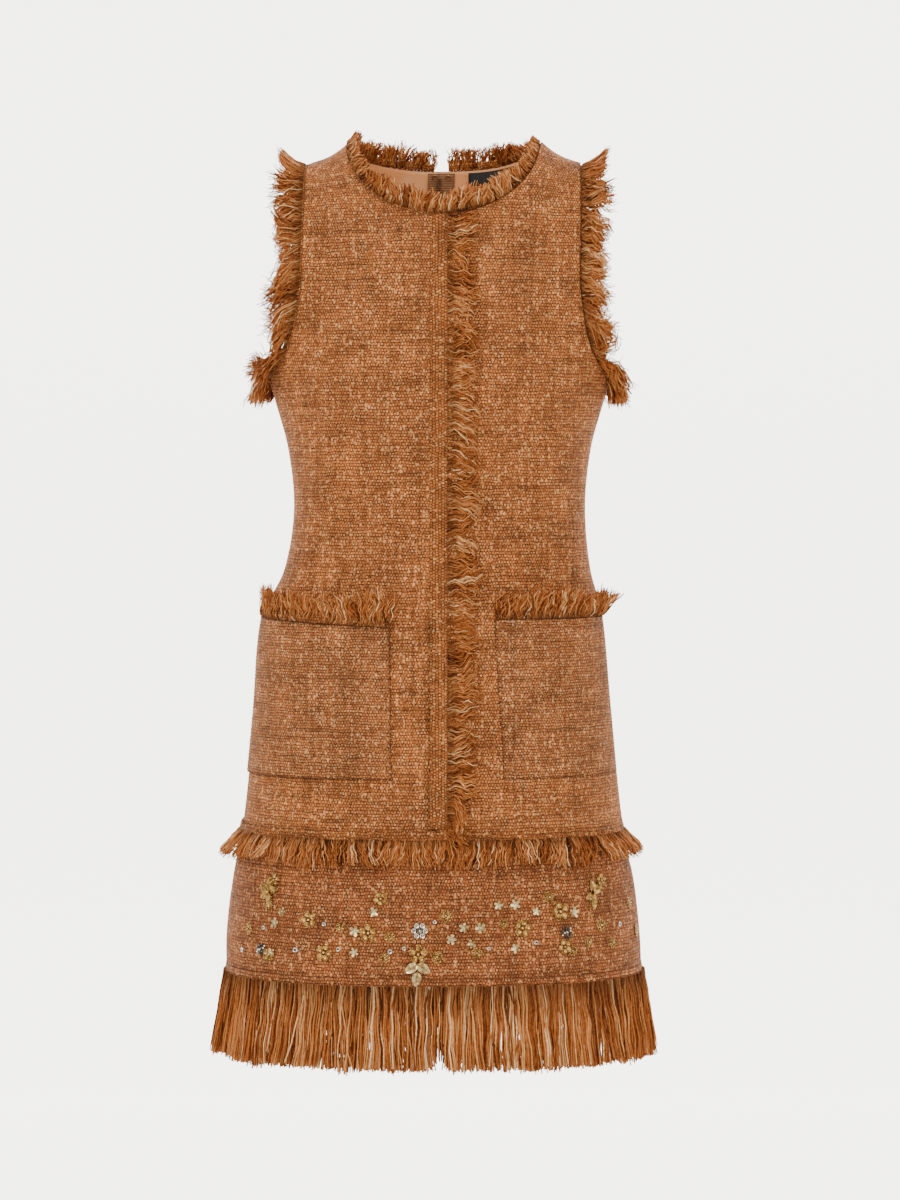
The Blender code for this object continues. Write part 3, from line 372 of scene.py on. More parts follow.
    cloud = add_node(tree, "ShaderNodeTexNoise", {"Scale": 0.032, "Detail": 3, "Roughness": 0.6},
                     {0: in_mm.outputs[0]})
    cloud_shade = add_node(tree, "ShaderNodeMapRange", {
        "From Min": 0.34, "From Max": 0.64, "To Min": 0.72, "To Max": 1.10},
        {"Value": cloud.outputs["Fac"]})
    streak_across = add_node(tree, "ShaderNodeVectorMath", {"operation": "MULTIPLY", 1: (0.02, 0.30, 0)},
                             {0: yarn_mm.outputs[0]})
    streak_down = add_node(tree, "ShaderNodeVectorMath", {"operation": "MULTIPLY", 1: (0.28, 0.02, 0)},
                           {0: yarn_mm.outputs[0]})
    row_streak = add_node(tree, "ShaderNodeTexNoise", {"Scale": 1, "Detail": 2},
                          {0: streak_across.outputs[0]})
    end_streak = add_node(tree, "ShaderNodeTexNoise", {"Scale": 1, "Detail": 2},
                          {0: streak_down.outputs[0]})
    row_shade = add_node(tree, "ShaderNodeMapRange", {
        "From Min": 0.3, "From Max": 0.7, "To Min": 0.74, "To Max": 1.28},
        {"Value": row_streak.outputs["Fac"]})
    end_shade = add_node(tree, "ShaderNodeMapRange", {
        "From Min": 0.3, "From Max": 0.7, "To Min": 0.78, "To Max": 1.26},
        {"Value": end_streak.outputs["Fac"]})
    fibre = add_node(tree, "ShaderNodeTexNoise", {"Scale": 1.05, "Detail": 4, "Roughness": 0.8},
                     {0: in_mm.outputs[0]})
    fibre_shade = add_node(tree, "ShaderNodeMapRange", {
        "From Min": 0.36, "From Max": 0.64, "To Min": 0.46, "To Max": 1.54},
        {"Value": fibre.outputs["Fac"]})
    shade = cloud_shade.outputs[0]
    for other in (row_shade, end_shade, fibre_shade):
        product = add_node(tree, "ShaderNodeMath", {"operation": "MULTIPLY"}, {0: shade, 1: other.outputs[0]})
        shade = product.outputs[0]

    # A windowpane of darker yarns, about 46 mm apart
    for output, pitch, start in ((1, 46.0, 9.0), (0, 50.0, 17.0)):
        shifted = add_node(tree, "ShaderNodeMath", {"operation": "ADD", 1: start},
                           {0: parts.outputs[output]})
        apart = add_node(tree, "ShaderNodeMath", {"operation": "PINGPONG", 1: pitch / 2},
                         {0: shifted.outputs[0]})
        line = add_node(tree, "ShaderNodeMapRange", {
            "interpolation_type": "SMOOTHSTEP", "From Min": 0.6, "From Max": 2.4,
            "To Min": 0.84, "To Max": 1.0}, {"Value": apart.outputs[0]})
        product = add_node(tree, "ShaderNodeMath", {"operation": "MULTIPLY"}, {0: shade, 1: line.outputs[0]})
        shade = product.outputs[0]
    shaded = add_node(tree, "ShaderNodeVectorMath", {"operation": "SCALE"},
                      {0: woven.outputs[2], "Scale": shade})

    # Specks of gold film, under a millimetre
    upright = add_node(tree, "ShaderNodeVectorMath", {"operation": "MULTIPLY", 1: (1.0, 0.6, 0)},
                       {0: in_mm.outputs[0]})
    specks = add_node(tree, "ShaderNodeTexVoronoi", {"Scale": 0.50, "Randomness": 1},
                      {"Vector": upright.outputs[0]})
    speck_small = add_node(tree, "ShaderNodeMapRange", {
        "From Min": 0.26, "From Max": 0.12, "To Min": 0, "To Max": 0.85},
        {"Value": specks.outputs["Distance"]})
    speck_pick = add_node(tree, "ShaderNodeSeparateColor", {}, {0: specks.outputs["Color"]})
    speck_some = add_node(tree, "ShaderNodeMath", {"operation": "GREATER_THAN", 1: 0.76},
                          {0: speck_pick.outputs[0]})
    speck = add_node(tree, "ShaderNodeMath", {"operation": "MULTIPLY"},
                     {0: speck_small.outputs[0], 1: speck_some.outputs[0]})
    colour = add_node(tree, "ShaderNodeMix", {"data_type": "RGBA", 7: linear(fleck)},
                      {0: speck.outputs[0], 6: shaded.outputs[0]})
    rough = add_node(tree, "ShaderNodeMapRange", {"To Min": 0.85, "To Max": 0.35},
                     {"Value": speck.outputs[0]})
    metal = add_node(tree, "ShaderNodeMath", {"operation": "MULTIPLY", 1: 0.5}, {0: speck.outputs[0]})

    # Relief: round yarns with slubs and stray fibres
    row_body = add_node(tree, "ShaderNodeMath", {"operation": "SUBTRACT", 0: 1.0},
                        {1: rows.outputs["Fac"]})
    row_rise = add_node(tree, "ShaderNodeMapRange", {"To Min": 0.55, "To Max": 0.95},
                        {"Value": row_tone.outputs[0]})
    row_height = add_node(tree, "ShaderNodeMath", {"operation": "MULTIPLY"},
                          {0: row_body.outputs[0], 1: row_rise.outputs[0]})
    height = add_node(tree, "ShaderNodeMath", {"operation": "MAXIMUM"},
                      {0: row_height.outputs[0], 1: end_mask.outputs[0]})
    fibre_part = add_node(tree, "ShaderNodeMath", {"operation": "MULTIPLY", 1: 0.45},
                          {0: fibre.outputs["Fac"]})
    relief = add_node(tree, "ShaderNodeMath", {"operation": "ADD"},
                      {0: height.outputs[0], 1: fibre_part.outputs[0]})
    bump = add_node(tree, "ShaderNodeBump", {"Strength": 1.0, "Distance": 0.0013},
                    {"Height": relief.outputs[0]})
    tree.links.new(colour.outputs[2], shader.inputs["Base Color"])
    tree.links.new(rough.outputs[0], shader.inputs["Roughness"])
    tree.links.new(metal.outputs[0], shader.inputs["Metallic"])
    tree.links.new(bump.outputs[0], shader.inputs["Normal"])
    shader.inputs["Specular IOR Level"].default_value = 0.25
    shader.inputs["Sheen Weight"].default_value = 0.08
    shader.inputs["Sheen Roughness"].default_value = 0.4
    shader.inputs["Sheen Tint"].default_value = linear("#c98545")
    return finish


body_tweed = tweed("wool_blend_tweed_body", "#451a06", "#924e20", "#c8783d", "#e29f66", "#fbcb9a", 2.7, 2.9)
panel_rows = np.concatenate([np.linspace(0, ARM_ROWS, 46),
                             np.linspace(ARM_ROWS, ARM_ROWS + BODY_ROWS, 99)[1:]])
panel_shares = np.linspace(0, 1, 41)
half_fronts = []
for hand in (RIGHT, LEFT):
    angle, level = panel_places(panel_rows, panel_shares, FRONT, hand)
    half_fronts.append((cloth(angle, level, FRONT), weave_at(angle, level, FRONT)))
front_cloth = sew_sheet("front_cloth", half_fronts, WALL, body_tweed)
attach(front_cloth, "dress")
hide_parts("front")

# ---------------------------------------------------------------- backs
# The two halves of the back are cut like the front in the same tweed. They meet at the zip on the
# centre back, and their shoulders join the front's along the seams.

for side_name, hand in (("right", RIGHT), ("left", LEFT)):
    angle, level = panel_places(panel_rows, panel_shares, BACK, hand)
    points, places = cloth(angle, level, BACK), weave_at(angle, level, BACK)
    points[panel_rows >= NECK_ROWS, 0, 0] += hand * SEAM_GAP / 2
    back_cloth = sew_sheet(f"back_cloth_{side_name}", [(points, places + 0.21)], WALL, body_tweed)
    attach(back_cloth, "dress")
    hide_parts(f"back_{side_name}")

# ---------------------------------------------------------------- hem band
# A separate band of a slightly redder cut of the tweed carries the dress on below the mid fringe.
# Front and back pieces meet at the side seams.

BAND_END_Z = -0.728
band_tweed = tweed("wool_blend_tweed_band", "#451a09", "#884621", "#b56a38", "#d6965f", "#f3cba0", 2.8, 3.2)
band_levels = 1 + UNDERARM_Z - np.linspace(MID_SEAM_Z - SEAM_GAP, BAND_END_Z, 35)
band_angles = np.linspace(-RIGHT_ANGLE, RIGHT_ANGLE, 97)
for side_name, side in (("front", FRONT), ("back", BACK)):
    angle, level = np.broadcast_arrays(band_angles[None, :], band_levels[:, None])
    band_cloth = sew_sheet(f"hem_band_cloth_{side_name}",
                           [(cloth(angle, level, side), weave_at(angle, level, side) + 0.11)],
                           WALL, band_tweed)
    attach(band_cloth, "dress")
    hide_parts(f"hem_band_{side_name}")

# ---------------------------------------------------------------- pockets
# Two patch pockets in a finer, pinker cut of the tweed lie flat on the front. Their mouths stand
# off the front a little between the corners.

POCKET_TOP_Z = -0.412
POCKET_BOTTOM_Z = -0.553
POCKET_OUTER_ANGLE = math.radians(84)
POCKET_GAPE = 0.0028
LAY_GAP = 0.0006
POCKETS = {"right": (RIGHT, 0.037, 0.036, 0.007), "left": (LEFT, 0.056, 0.064, 0.0)}


def pocket_places(side_name, downs, shares):
    """Angles, levels and the mouth's gape on a pocket's grid, from its top to its bottom."""
    hand, inner_top, inner_bottom, slope = POCKETS[side_name]
    down = downs[:, None]
    level = 1 + UNDERARM_Z - POCKET_TOP_Z + (POCKET_TOP_Z - POCKET_BOTTOM_Z) * down
    level = level + slope * (1 - shares) * (1 - down)
    half_width = body_at(UNDERARM_Z + 1 - level)[0]
    inner = np.arcsin(((inner_top + (inner_bottom - inner_top) * down) / half_width) ** (ROUNDNESS / 2))
    angle = inner + (POCKET_OUTER_ANGLE - inner) * shares
    gape = POCKET_GAPE * np.sin(np.pi * shares) * np.maximum(1 - down, 0) ** 2
    return hand * angle, level, gape


pocket_tweed = tweed("wool_blend_tweed_pocket", "#4e200c", "#924f28", "#bf7640", "#d99c68", "#f3cda4", 2.5, 2.7)
pocket_rows = []
for side_name in POCKETS:
    downs, shares = np.linspace(0, 1, 37), np.linspace(0, 1, 37)
    angle, level, gape = pocket_places(side_name, downs, shares)
    edge = np.minimum(np.minimum(shares, 1 - shares)[None, :], (1 - downs)[:, None])
    puff = 0.0008 * np.clip(edge / 0.06, 0, 1)
    points = cloth(angle, level, FRONT, WALL + LAY_GAP + gape + puff - 0.0004)
    out = skin_normal(angle, level, FRONT)
    pocket_rows += [(points[:, 0], out[:, 0]), (points[-1], out[-1]), (points[:, -1], out[:, -1]),
                    (points[0], out[0])]
    pocket_cloth = sew_sheet(f"pocket_cloth_{side_name}",
                             [(points, weave_at(angle, level, FRONT) + 0.31)], WALL, pocket_tweed)
    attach(pocket_cloth, "dress")
    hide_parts(f"pocket_{side_name}")

# ---------------------------------------------------------------- lining
# Bronze satin lines the back behind the neck, sewn in under the neck trim. It is smooth, with a
# soft broad sheen and a few slack wrinkles. Its colour is painted lighter to offset the shade inside
# the neck, and lighter still on the wrinkles' crests as painted sheen.

LINING = 0.001
LINING_ROWS = 7
satin = bpy.data.materials.new("polyester_satin_lining")
satin.use_nodes = True
satin_tree = satin.node_tree
satin_shader = satin_tree.nodes["Principled BSDF"]
satin_place = add_node(satin_tree, "ShaderNodeUVMap", {"uv_map": "weave"})
satin_warp = add_node(satin_tree, "ShaderNodeTexWave", {"Scale": 900, "Distortion": 0.4},
                      {0: satin_place.outputs[0]})
satin_slack = add_node(satin_tree, "ShaderNodeTexNoise", {"Scale": 22, "Detail": 2},
                       {0: satin_place.outputs[0]})
# Painted light: the colour is lighter overall against the shade inside the neck, and lighter where the wrinkles rise,
# as painted sheen.
satin_colour_and_painted_sheen = add_node(satin_tree, "ShaderNodeValToRGB", {}, {0: satin_slack.outputs["Fac"]})
set_ramp(satin_colour_and_painted_sheen, [(0.3, "#fb9a4e"), (0.7, "#ffc184")])
satin_height = add_node(satin_tree, "ShaderNodeMath", {"operation": "MULTIPLY_ADD", 1: 12.0},
                        {0: satin_slack.outputs["Fac"], 2: satin_warp.outputs["Fac"]})
satin_bump = add_node(satin_tree, "ShaderNodeBump", {"Strength": 0.5, "Distance": 0.0002},
                      {"Height": satin_height.outputs[0]})
satin_tree.links.new(satin_colour_and_painted_sheen.outputs[0], satin_shader.inputs["Base Color"])
satin_tree.links.new(satin_bump.outputs[0], satin_shader.inputs["Normal"])
satin_shader.inputs["Roughness"].default_value = 0.38
satin_shader.inputs["Sheen Weight"].default_value = 0.3
for side_name, hand in (("right", RIGHT), ("left", LEFT)):
    rows, shares = np.linspace(0, LINING_ROWS, 43), np.linspace(0, 0.75, 37)
    angle, level = panel_places(rows, shares, BACK, hand)
    points = cloth(angle, level, BACK, -WALL - SEAM_GAP)
    points[rows >= NECK_ROWS, 0, 0] += hand * SEAM_GAP / 2
    lining = sew_sheet(f"satin_lining_{side_name}", [(points, weave_at(angle, level, BACK))],
                       LINING, satin)
    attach(lining, "dress")
    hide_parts(f"lining_{side_name}")

# ---------------------------------------------------------------- neck trim
# The trim round the neck is a frayed strip of the tweed sewn on beyond the cloth's edge. Its weft
# is pulled out, so the warp yarns stand up loose. It opens at the zip on the centre back.

STRIP = 0.007


def fringe_yarn(name, dark, deep, body, light):
    """Wool-blend fringe: loose thick-and-thin yarns, dull and dry, painted darker towards the root as
    shade where they crowd together. Each yarn has a tone of its own, with painted shade on the yarns that lie lower,
    kept in the map's first number."""
    finish = bpy.data.materials.new(name)
    finish.use_nodes = True
    tree = finish.node_tree
    shader = tree.nodes["Principled BSDF"]
    place_on_yarn = add_node(tree, "ShaderNodeUVMap", {"uv_map": "yarn"})
    parts = add_node(tree, "ShaderNodeSeparateXYZ", {}, {0: place_on_yarn.outputs[0]})
    position = add_node(tree, "ShaderNodeTexCoord")
    slub = add_node(tree, "ShaderNodeTexNoise", {"Scale": 420, "Detail": 2},
                    {0: position.outputs["Object"]})
    tone = add_node(tree, "ShaderNodeMath", {"operation": "MULTIPLY_ADD", 1: 0.5},
                    {0: slub.outputs["Fac"], 2: parts.outputs[0]})
    toned = add_node(tree, "ShaderNodeMath", {"operation": "SUBTRACT", 1: 0.25}, {0: tone.outputs[0]})
    colour = add_node(tree, "ShaderNodeValToRGB", {}, {0: toned.outputs[0]})
    set_ramp(colour, [(0.0, dark), (0.24, deep), (0.54, body), (0.86, light), (1.0, "#f4cc9c")])
    # Painted shade: the colour darkens towards each yarn's root, where the yarns crowd together.
    root = add_node(tree, "ShaderNodeMapRange", {"From Max": 0.5, "To Min": 0.50, "To Max": 1.10},
                    {"Value": parts.outputs[1]})
    shaded = add_node(tree, "ShaderNodeVectorMath", {"operation": "SCALE"},
                      {0: colour.outputs[0], "Scale": root.outputs[0]})
    twist = add_node(tree, "ShaderNodeBump", {"Strength": 0.6, "Distance": 0.0004},
                     {"Height": slub.outputs["Fac"]})
    tree.links.new(shaded.outputs[0], shader.inputs["Base Color"])
    tree.links.new(twist.outputs[0], shader.inputs["Normal"])
    shader.inputs["Roughness"].default_value = 0.8
    shader.inputs["Specular IOR Level"].default_value = 0.2
    shader.inputs["Sheen Weight"].default_value = 0.06
    shader.inputs["Sheen Roughness"].default_value = 0.4
    shader.inputs["Sheen Tint"].default_value = linear("#c98545")
    return finish


def lay_yarns(name, paths, radius, tones, finish, slot="fringe_yarn", tip=0.45):
    """Loose yarns as three-sided tubes along their paths, each thinner towards its tip."""
    count, points = paths.shape[:2]
    along = unit(np.gradient(paths, axis=1))
    helper = unit(np.roll(along[:, :1], 1, axis=-1) + (0.31, -0.17, 0.23))
    across = unit(np.cross(along, helper))
    other = np.cross(along, across)
    taper = np.interp(np.linspace(0, 1, points), (0, 0.75, 1), (1, 0.5 + tip / 2, tip))
    turns = 2 * np.pi * np.arange(3) / 3
    spokes = (across[:, :, None] * np.cos(turns)[:, None] + other[:, :, None] * np.sin(turns)[:, None])
    rings = paths[:, :, None] + spokes * (radius[:, None] * taper)[..., None, None]
    first = (np.arange(count * points).reshape(count, points) * 3)
    faces = []
    for turn in range(3):
        after = (turn + 1) % 3
        near, far = first[:, :-1], first[:, 1:]
        faces.append(np.stack([near + turn, near + after, far + after, far + turn], -1).reshape(-1, 4))
    faces = np.concatenate(faces)
    roots = np.stack([first[:, 0] + 2, first[:, 0] + 1, first[:, 0]], -1)
    tips = np.stack([first[:, -1], first[:, -1] + 1, first[:, -1] + 2], -1)
    mesh = bpy.data.meshes.new(name)
    mesh.from_pydata(rings.reshape(-1, 3), [], faces.tolist() + roots.tolist() + tips.tolist())
    corner = np.empty(len(mesh.loops), int)
    mesh.loops.foreach_get("vertex_index", corner)
    reach = np.tile(np.repeat(np.linspace(0, 1, points), 3), count)
    tone = np.repeat(tones, points * 3)
    yarn_map = mesh.uv_layers.new(name="yarn")
    yarn_map.data.foreach_set("uv", np.stack([tone[corner], reach[corner]], -1).ravel())
    mesh.shade_smooth()
    mesh.materials.append(finish)
    piece = bpy.data.objects.new(name, mesh)
    bpy.context.scene.collection.objects.link(piece)
    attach(piece, "dress")
    return piece


def comb_out(edge, outward, first, last, length, per_metre, clump, mess, seed, points=6,
             thickness=0.0016, curl=0.5, lift=0.0, gather=0.25,
             even=0.08, thin=0.00046, stray=0.14, crimp=0.30, cut=None):
    """Paths of loose yarns rooted along an edge. They gather into clumps of about the given
    width, which lean and curl by chance; first and last are their directions at root and tip."""
    random = np.random.default_rng(seed)
    steps = np.linalg.norm(np.diff(edge, axis=0), axis=1)
    reach = np.concatenate([[0], np.cumsum(steps)])
    count = int(reach[-1] * per_metre)
    at = np.sort(random.uniform(0, reach[-1], count))

    def at_roots(values):
        return np.stack([np.interp(at, reach, values[:, axis]) for axis in range(3)], -1)

    root, out = at_roots(edge), unit(at_roots(outward))
    start, end = unit(at_roots(first)), unit(at_roots(last))
    along = unit(np.cross(start, out))
    bounds = np.cumsum(random.uniform(0.5, 1.5, int(2 * reach[-1] / clump) + 4) * clump)
    group = np.searchsorted(bounds, at)
    middle = bounds[group] - clump / 2
    groups = len(bounds) + 1
    lean = random.normal(0, mess, groups)[group] + random.normal(0, stray, count)
    bend = random.normal(0, curl, groups)[group] + random.normal(0, curl * 0.35, count)
    rise = random.uniform(-1, 1, groups)[group] * 0.5 + random.uniform(-0.5, 0.5, count)
    share = random.normal(1, even, groups)[group] * random.normal(1, even, count)
    if cut is not None:
        share *= np.interp(at, reach, cut)
    inwards = np.clip((middle - at) * np.sign(np.einsum("ij,ij->i", along, at_roots(np.gradient(edge, axis=0)))),
                     -clump, clump)
    root = root + out * (random.uniform(-0.5, 0.5, count) * thickness)[:, None]
    steps = np.linspace(0, 1, points)
    paths = [root]
    wave = random.uniform(0, 2 * np.pi, groups)[group] + random.normal(0, 0.6, count)
    for near, far in zip(steps, steps[1:]):
        t = (near + far) / 2
        direction = start * (1 - t) + end * t
        direction = direction + along * (lean + bend * (t - 0.25) + crimp * np.sin(wave + 12 * t))[:, None]
        direction = direction + along * (inwards * gather / length)[:, None]
        direction = direction + out * (lift * rise + 0.6 * crimp * np.cos(wave * 1.7 + 11 * t))[:, None]
        paths.append(paths[-1] + unit(direction) * (length * share / (points - 1))[:, None])
    # Tones differ at random by clump and by yarn; yarns that lie lower are painted darker as shade.
    tones = random.normal(0.45, 0.05, groups)[group] + random.normal(0, 0.24, count) + 0.16 * rise
    tones = np.clip(tones, 0, 1)
    radius = random.uniform(thin, thin * 1.7, count)
    return np.stack(paths, 1), radius, tones


def smooth_along(values, closed, spread=7):
    """Values along an edge, averaged with their neighbours."""
    pad = np.pad(values, ((spread, spread), (0, 0)), mode="wrap" if closed else "edge")
    window = np.ones(2 * spread + 1) / (2 * spread + 1)
    return np.stack([np.convolve(pad[:, axis], window, "valid") for axis in range(3)], -1)


def edge_trim(edge, inland, normals, closed, rise):
    """The strip's edge and outward directions where it carries on beyond a cloth edge."""
    along = unit(np.gradient(np.concatenate([edge[-2:], edge, edge[:2]]), axis=0)[2:-2]
                 if closed else np.gradient(edge, axis=0))
    normals = unit(smooth_along(normals, closed))
    beyond = unit(np.cross(normals, along))
    beyond *= np.sign(np.einsum("ij,ij->i", beyond, edge - inland))[:, None]
    direction = unit(beyond * (1 - rise) + np.array((0, 0, 1)) * rise)
    outward = unit(np.cross(along, direction))
    outward *= np.sign(np.einsum("ij,ij->i", outward, normals))[:, None]
    return edge + beyond * SEAM_GAP, direction, outward


def strip_grid(base, direction, outward, width, sag=0.0004):
    """A strip's grid of points from its base to its frayed edge, and its places in the weave."""
    shares = np.linspace(0, 1, 6)
    reach = np.concatenate([[0], np.cumsum(np.linalg.norm(np.diff(base, axis=0), axis=1))])
    points = base[:, None] + direction[:, None] * (shares * width)[None, :, None]
    points = points + outward[:, None] * (sag * np.sin(np.pi * shares))[None, :, None]
    places = np.stack(np.broadcast_arrays(reach[:, None], shares[None, :] * width), -1)
    return points, places


def panel_rim(rows, side, hand, share):
    """Points, normals and points beside them along a panel's inner (0) or outer (1) edge."""
    beside = 0.04 if share == 0 else 0.96
    angle, level = panel_places(rows, np.array([share, beside]), side, hand)
    points = cloth(angle, level, side)
    return points[:, 0], points[:, 1], skin_normal(angle[:, 0], level[:, 0], side)


trim_tweed = tweed("wool_blend_tweed_trim", "#451a05", "#8a461a", "#ba6d33", "#d8985b", "#f6d0a0", 2.7, 2.9)
trim_yarn = fringe_yarn("wool_blend_fringe", "#481a05", "#874418", "#b86c33", "#dc9c5e")

neck_rows = np.linspace(0, NECK_ROWS, 61)
neck_rims = [[part[::-1] for part in panel_rim(neck_rows, BACK, RIGHT, 0)],
             [part[1:] for part in panel_rim(neck_rows, FRONT, RIGHT, 0)],
             [part[::-1][1:] for part in panel_rim(neck_rows, FRONT, LEFT, 0)],
             [part[1:] for part in panel_rim(neck_rows, BACK, LEFT, 0)]]
neck_edge, neck_inland, neck_normals = (np.concatenate(parts) for parts in zip(*neck_rims))
neck_edge, neck_inland, neck_normals = neck_edge[3:-3], neck_inland[3:-3], neck_normals[3:-3]
at_centre = np.abs(neck_edge[:, 0]) < 0.002
neck_inland[at_centre] = neck_edge[at_centre] - (0, 0, 0.004)
neck_rise = (0.30 - 0.15 * (neck_edge[:, :1] / NECK_HALF_WIDTH) ** 2)
base, direction, outward = edge_trim(neck_edge, neck_inland, neck_normals, False, neck_rise)
direction, outward = unit(smooth_along(direction, False, 5)), unit(smooth_along(outward, False, 5))
seam_rows = list(pocket_rows)
tonal_rows = [(neck_edge, outward)]
neck_strip = sew_sheet("neck_trim_strip", [strip_grid(base, direction, outward, STRIP)], 0.0018, trim_tweed)
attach(neck_strip, "dress")
up = np.array((0, 0, 1.0))
peak_share = (np.abs(base[:, :1]) / NECK_HALF_WIDTH) ** 5
inwards = -np.sign(base[:, :1]) * peak_share * np.array((0.75, 0, 0))
neck_yarns = lay_yarns("neck_trim_fringe", *comb_out(
    base + direction * STRIP * 0.15, outward, direction + outward * 0.15 + up * 0.2 + inwards,
    direction + outward * 0.45 + up * 0.2 + inwards, 0.0200, 4700, 0.006, 0.22, 11, 6, curl=0.8, lift=0.42,
    thickness=0.0036, gather=0.05, stray=0.22, crimp=0.40,
    cut=1 - 0.45 * peak_share[:, 0]),
    trim_yarn)
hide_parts("neck_fringe")
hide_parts("neck_fringe")

# ---------------------------------------------------------------- armhole trims
# The same frayed strip goes once round each armhole. It stands out from the shoulders and droops
# in darker, curling clumps under the arms.

for side_name, hand, seed in (("right", RIGHT, 15), ("left", LEFT, 19)):
    arm_rows = ARM_ROWS * np.linspace(0, 1, 76)
    front_rim, back_rim = (panel_rim(arm_rows, side, hand, 1) for side in (FRONT, BACK))
    edge, inland, normals = (np.concatenate([front, back[::-1][1:-1]])
                             for front, back in zip(front_rim, back_rim))
    low_end = np.argmin(edge[:, 2])
    inland[low_end] = edge[low_end] - (0, 0, 0.004)
    base, direction, outward = edge_trim(edge, inland, normals, True, np.zeros((len(edge), 1)))
    direction, outward = unit(smooth_along(direction, True)), unit(smooth_along(outward, True))
    ring = [np.concatenate([values, values[:1]]) for values in (base, direction, outward)]
    tonal_rows.append((edge, normals))
    arm_strip = sew_sheet(f"armhole_trim_strip_{side_name}", [strip_grid(*ring, STRIP)], 0.0018, trim_tweed)
    base, direction, outward = ring
    low = np.clip(direction[:, 2:], 0, 1)
    high = np.clip(outward[:, 2:], 0, 1) ** 2
    sideways = np.array((hand, 0, 0.0))
    first = (direction * (0.6 - 0.35 * low) + outward * 0.3 + sideways * 0.6
             + up * (0.45 * high - 0.10 * (1 - high)))
    last = (direction * 0.15 * (1 - low) + outward * 0.2 + sideways * 0.25
            + up * (1.2 * high - 0.95 * (1 - high)))
    arm_yarns = lay_yarns(f"armhole_trim_fringe_{side_name}", *comb_out(
        base + direction * STRIP * 0.2, outward, first, last, 0.0305, 4600, 0.009, 0.30, seed, 6,
        curl=1.2, lift=0.45, thickness=0.0036, gather=0.05, stray=0.22, crimp=0.55), trim_yarn)
    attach(arm_strip, "dress")
    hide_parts(f"armhole_fringe_{side_name}")
    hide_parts(f"armhole_fringe_{side_name}")

# ---------------------------------------------------------------- mid trim
# A strip of the tweed covers the seam between body and band. Its fringe hangs over the band's top
# and flares at the sides.

MID_STRIP = 0.009
STRIP_THICKNESS = 0.0016


def hoop(z, lift, steps=80):
    """Points right round the body at one height, with their outward directions."""
    level = 1 + UNDERARM_Z - z
    angle = np.linspace(-RIGHT_ANGLE, RIGHT_ANGLE, steps)
    front = cloth(angle, np.full(steps, level), FRONT, lift)
    back = cloth(angle[::-1], np.full(steps, level), BACK, lift)
    points = np.concatenate([front[:-1], back[:-1], front[:1]])
    normals = np.concatenate([skin_normal(angle, np.full(steps, level), FRONT)[:-1],
                              skin_normal(angle[::-1], np.full(steps, level), BACK)[:-1]])
    normals = np.concatenate([normals, normals[:1]])
    return points, unit(normals)


def hoop_strip(name, top_z, bottom_z, lift, thickness, finish, rows=6):
    """A strip right round the body between two heights."""
    heights = np.linspace(top_z, bottom_z, rows)
    puff = 0.0005 * np.sin(np.pi * np.linspace(0, 1, rows))
    points = np.stack([hoop(z, lift + p)[0] for z, p in zip(heights, puff)], 1)
    reach = np.concatenate([[0], np.cumsum(np.linalg.norm(np.diff(points[:, 0], axis=0), axis=1))])
    places = np.stack(np.broadcast_arrays(reach[:, None], heights[None, :]), -1)
    return sew_sheet(name, [(points, places)], thickness, finish)


mid_top = MID_SEAM_Z + MID_STRIP * 0.6
seam_rows += [hoop(mid_top, LAY_GAP), hoop(mid_top - MID_STRIP / 2, LAY_GAP + STRIP_THICKNESS + 0.0004)]
mid_strip = hoop_strip("mid_trim_strip", mid_top, mid_top - MID_STRIP, LAY_GAP + STRIP_THICKNESS,
                       STRIP_THICKNESS, trim_tweed)
edge, outward = hoop(mid_top - MID_STRIP * 0.8, LAY_GAP + STRIP_THICKNESS / 2)
level_out = unit(outward * (1, 1, 0))
side_share = np.abs(level_out[:, :1])
mid_yarns = lay_yarns("mid_trim_fringe", *comb_out(
    edge, outward, level_out * (0.38 + 0.45 * side_share ** 2) - up * 0.8,
    level_out * (0.25 + 0.40 * side_share ** 2) - up * 0.9, 0.0265, 3300, 0.010, 0.16, 23, 6,
    curl=0.6, lift=0.20, gather=0.05, crimp=0.36), trim_yarn)
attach(mid_strip, "dress")
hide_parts("mid_fringe")
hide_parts("mid_fringe")

# ---------------------------------------------------------------- hem trim
# The hem's strip ends in long fringe that hangs straight, in locks of a finger's width, with a
# parting at the front.

HEM_SEAM_Z = -0.736
seam_rows.append(hoop(HEM_SEAM_Z + 0.0008, 0.0004))
tonal_rows.append(hoop(BAND_END_Z, 0.0001))
hem_strip = hoop_strip("hem_trim_strip", BAND_END_Z - SEAM_GAP, HEM_SEAM_Z, 0.0003, 0.0018, band_tweed)
edge, outward = hoop(HEM_SEAM_Z + 0.0015, -0.0008)
level_out = unit(outward * (1, 1, 0))
hem_yarns = lay_yarns("hem_trim_fringe", *comb_out(
    edge, outward, level_out * 0.16 - up, level_out * 0.12 - up, 0.0735, 5900, 0.010, 0.022, 31, 5,
    thickness=0.006, curl=0.06, lift=0.09, gather=0.0, even=0.02, thin=0.00052, stray=0.05, crimp=0.11,
    cut=1 - 0.24 * (edge[:, 1] < 0) * np.exp(-(edge[:, 0] / 0.0035) ** 2)), trim_yarn, tip=0.9)
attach(hem_strip, "dress")
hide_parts("hem_fringe")
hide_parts("hem_fringe")

# ---------------------------------------------------------------- front trim
# The mock placket is a long strip of the tweed down the centre front, folded sharp on the wearer's
# left. Its fringe lies across the front in combed, scalloped waves.

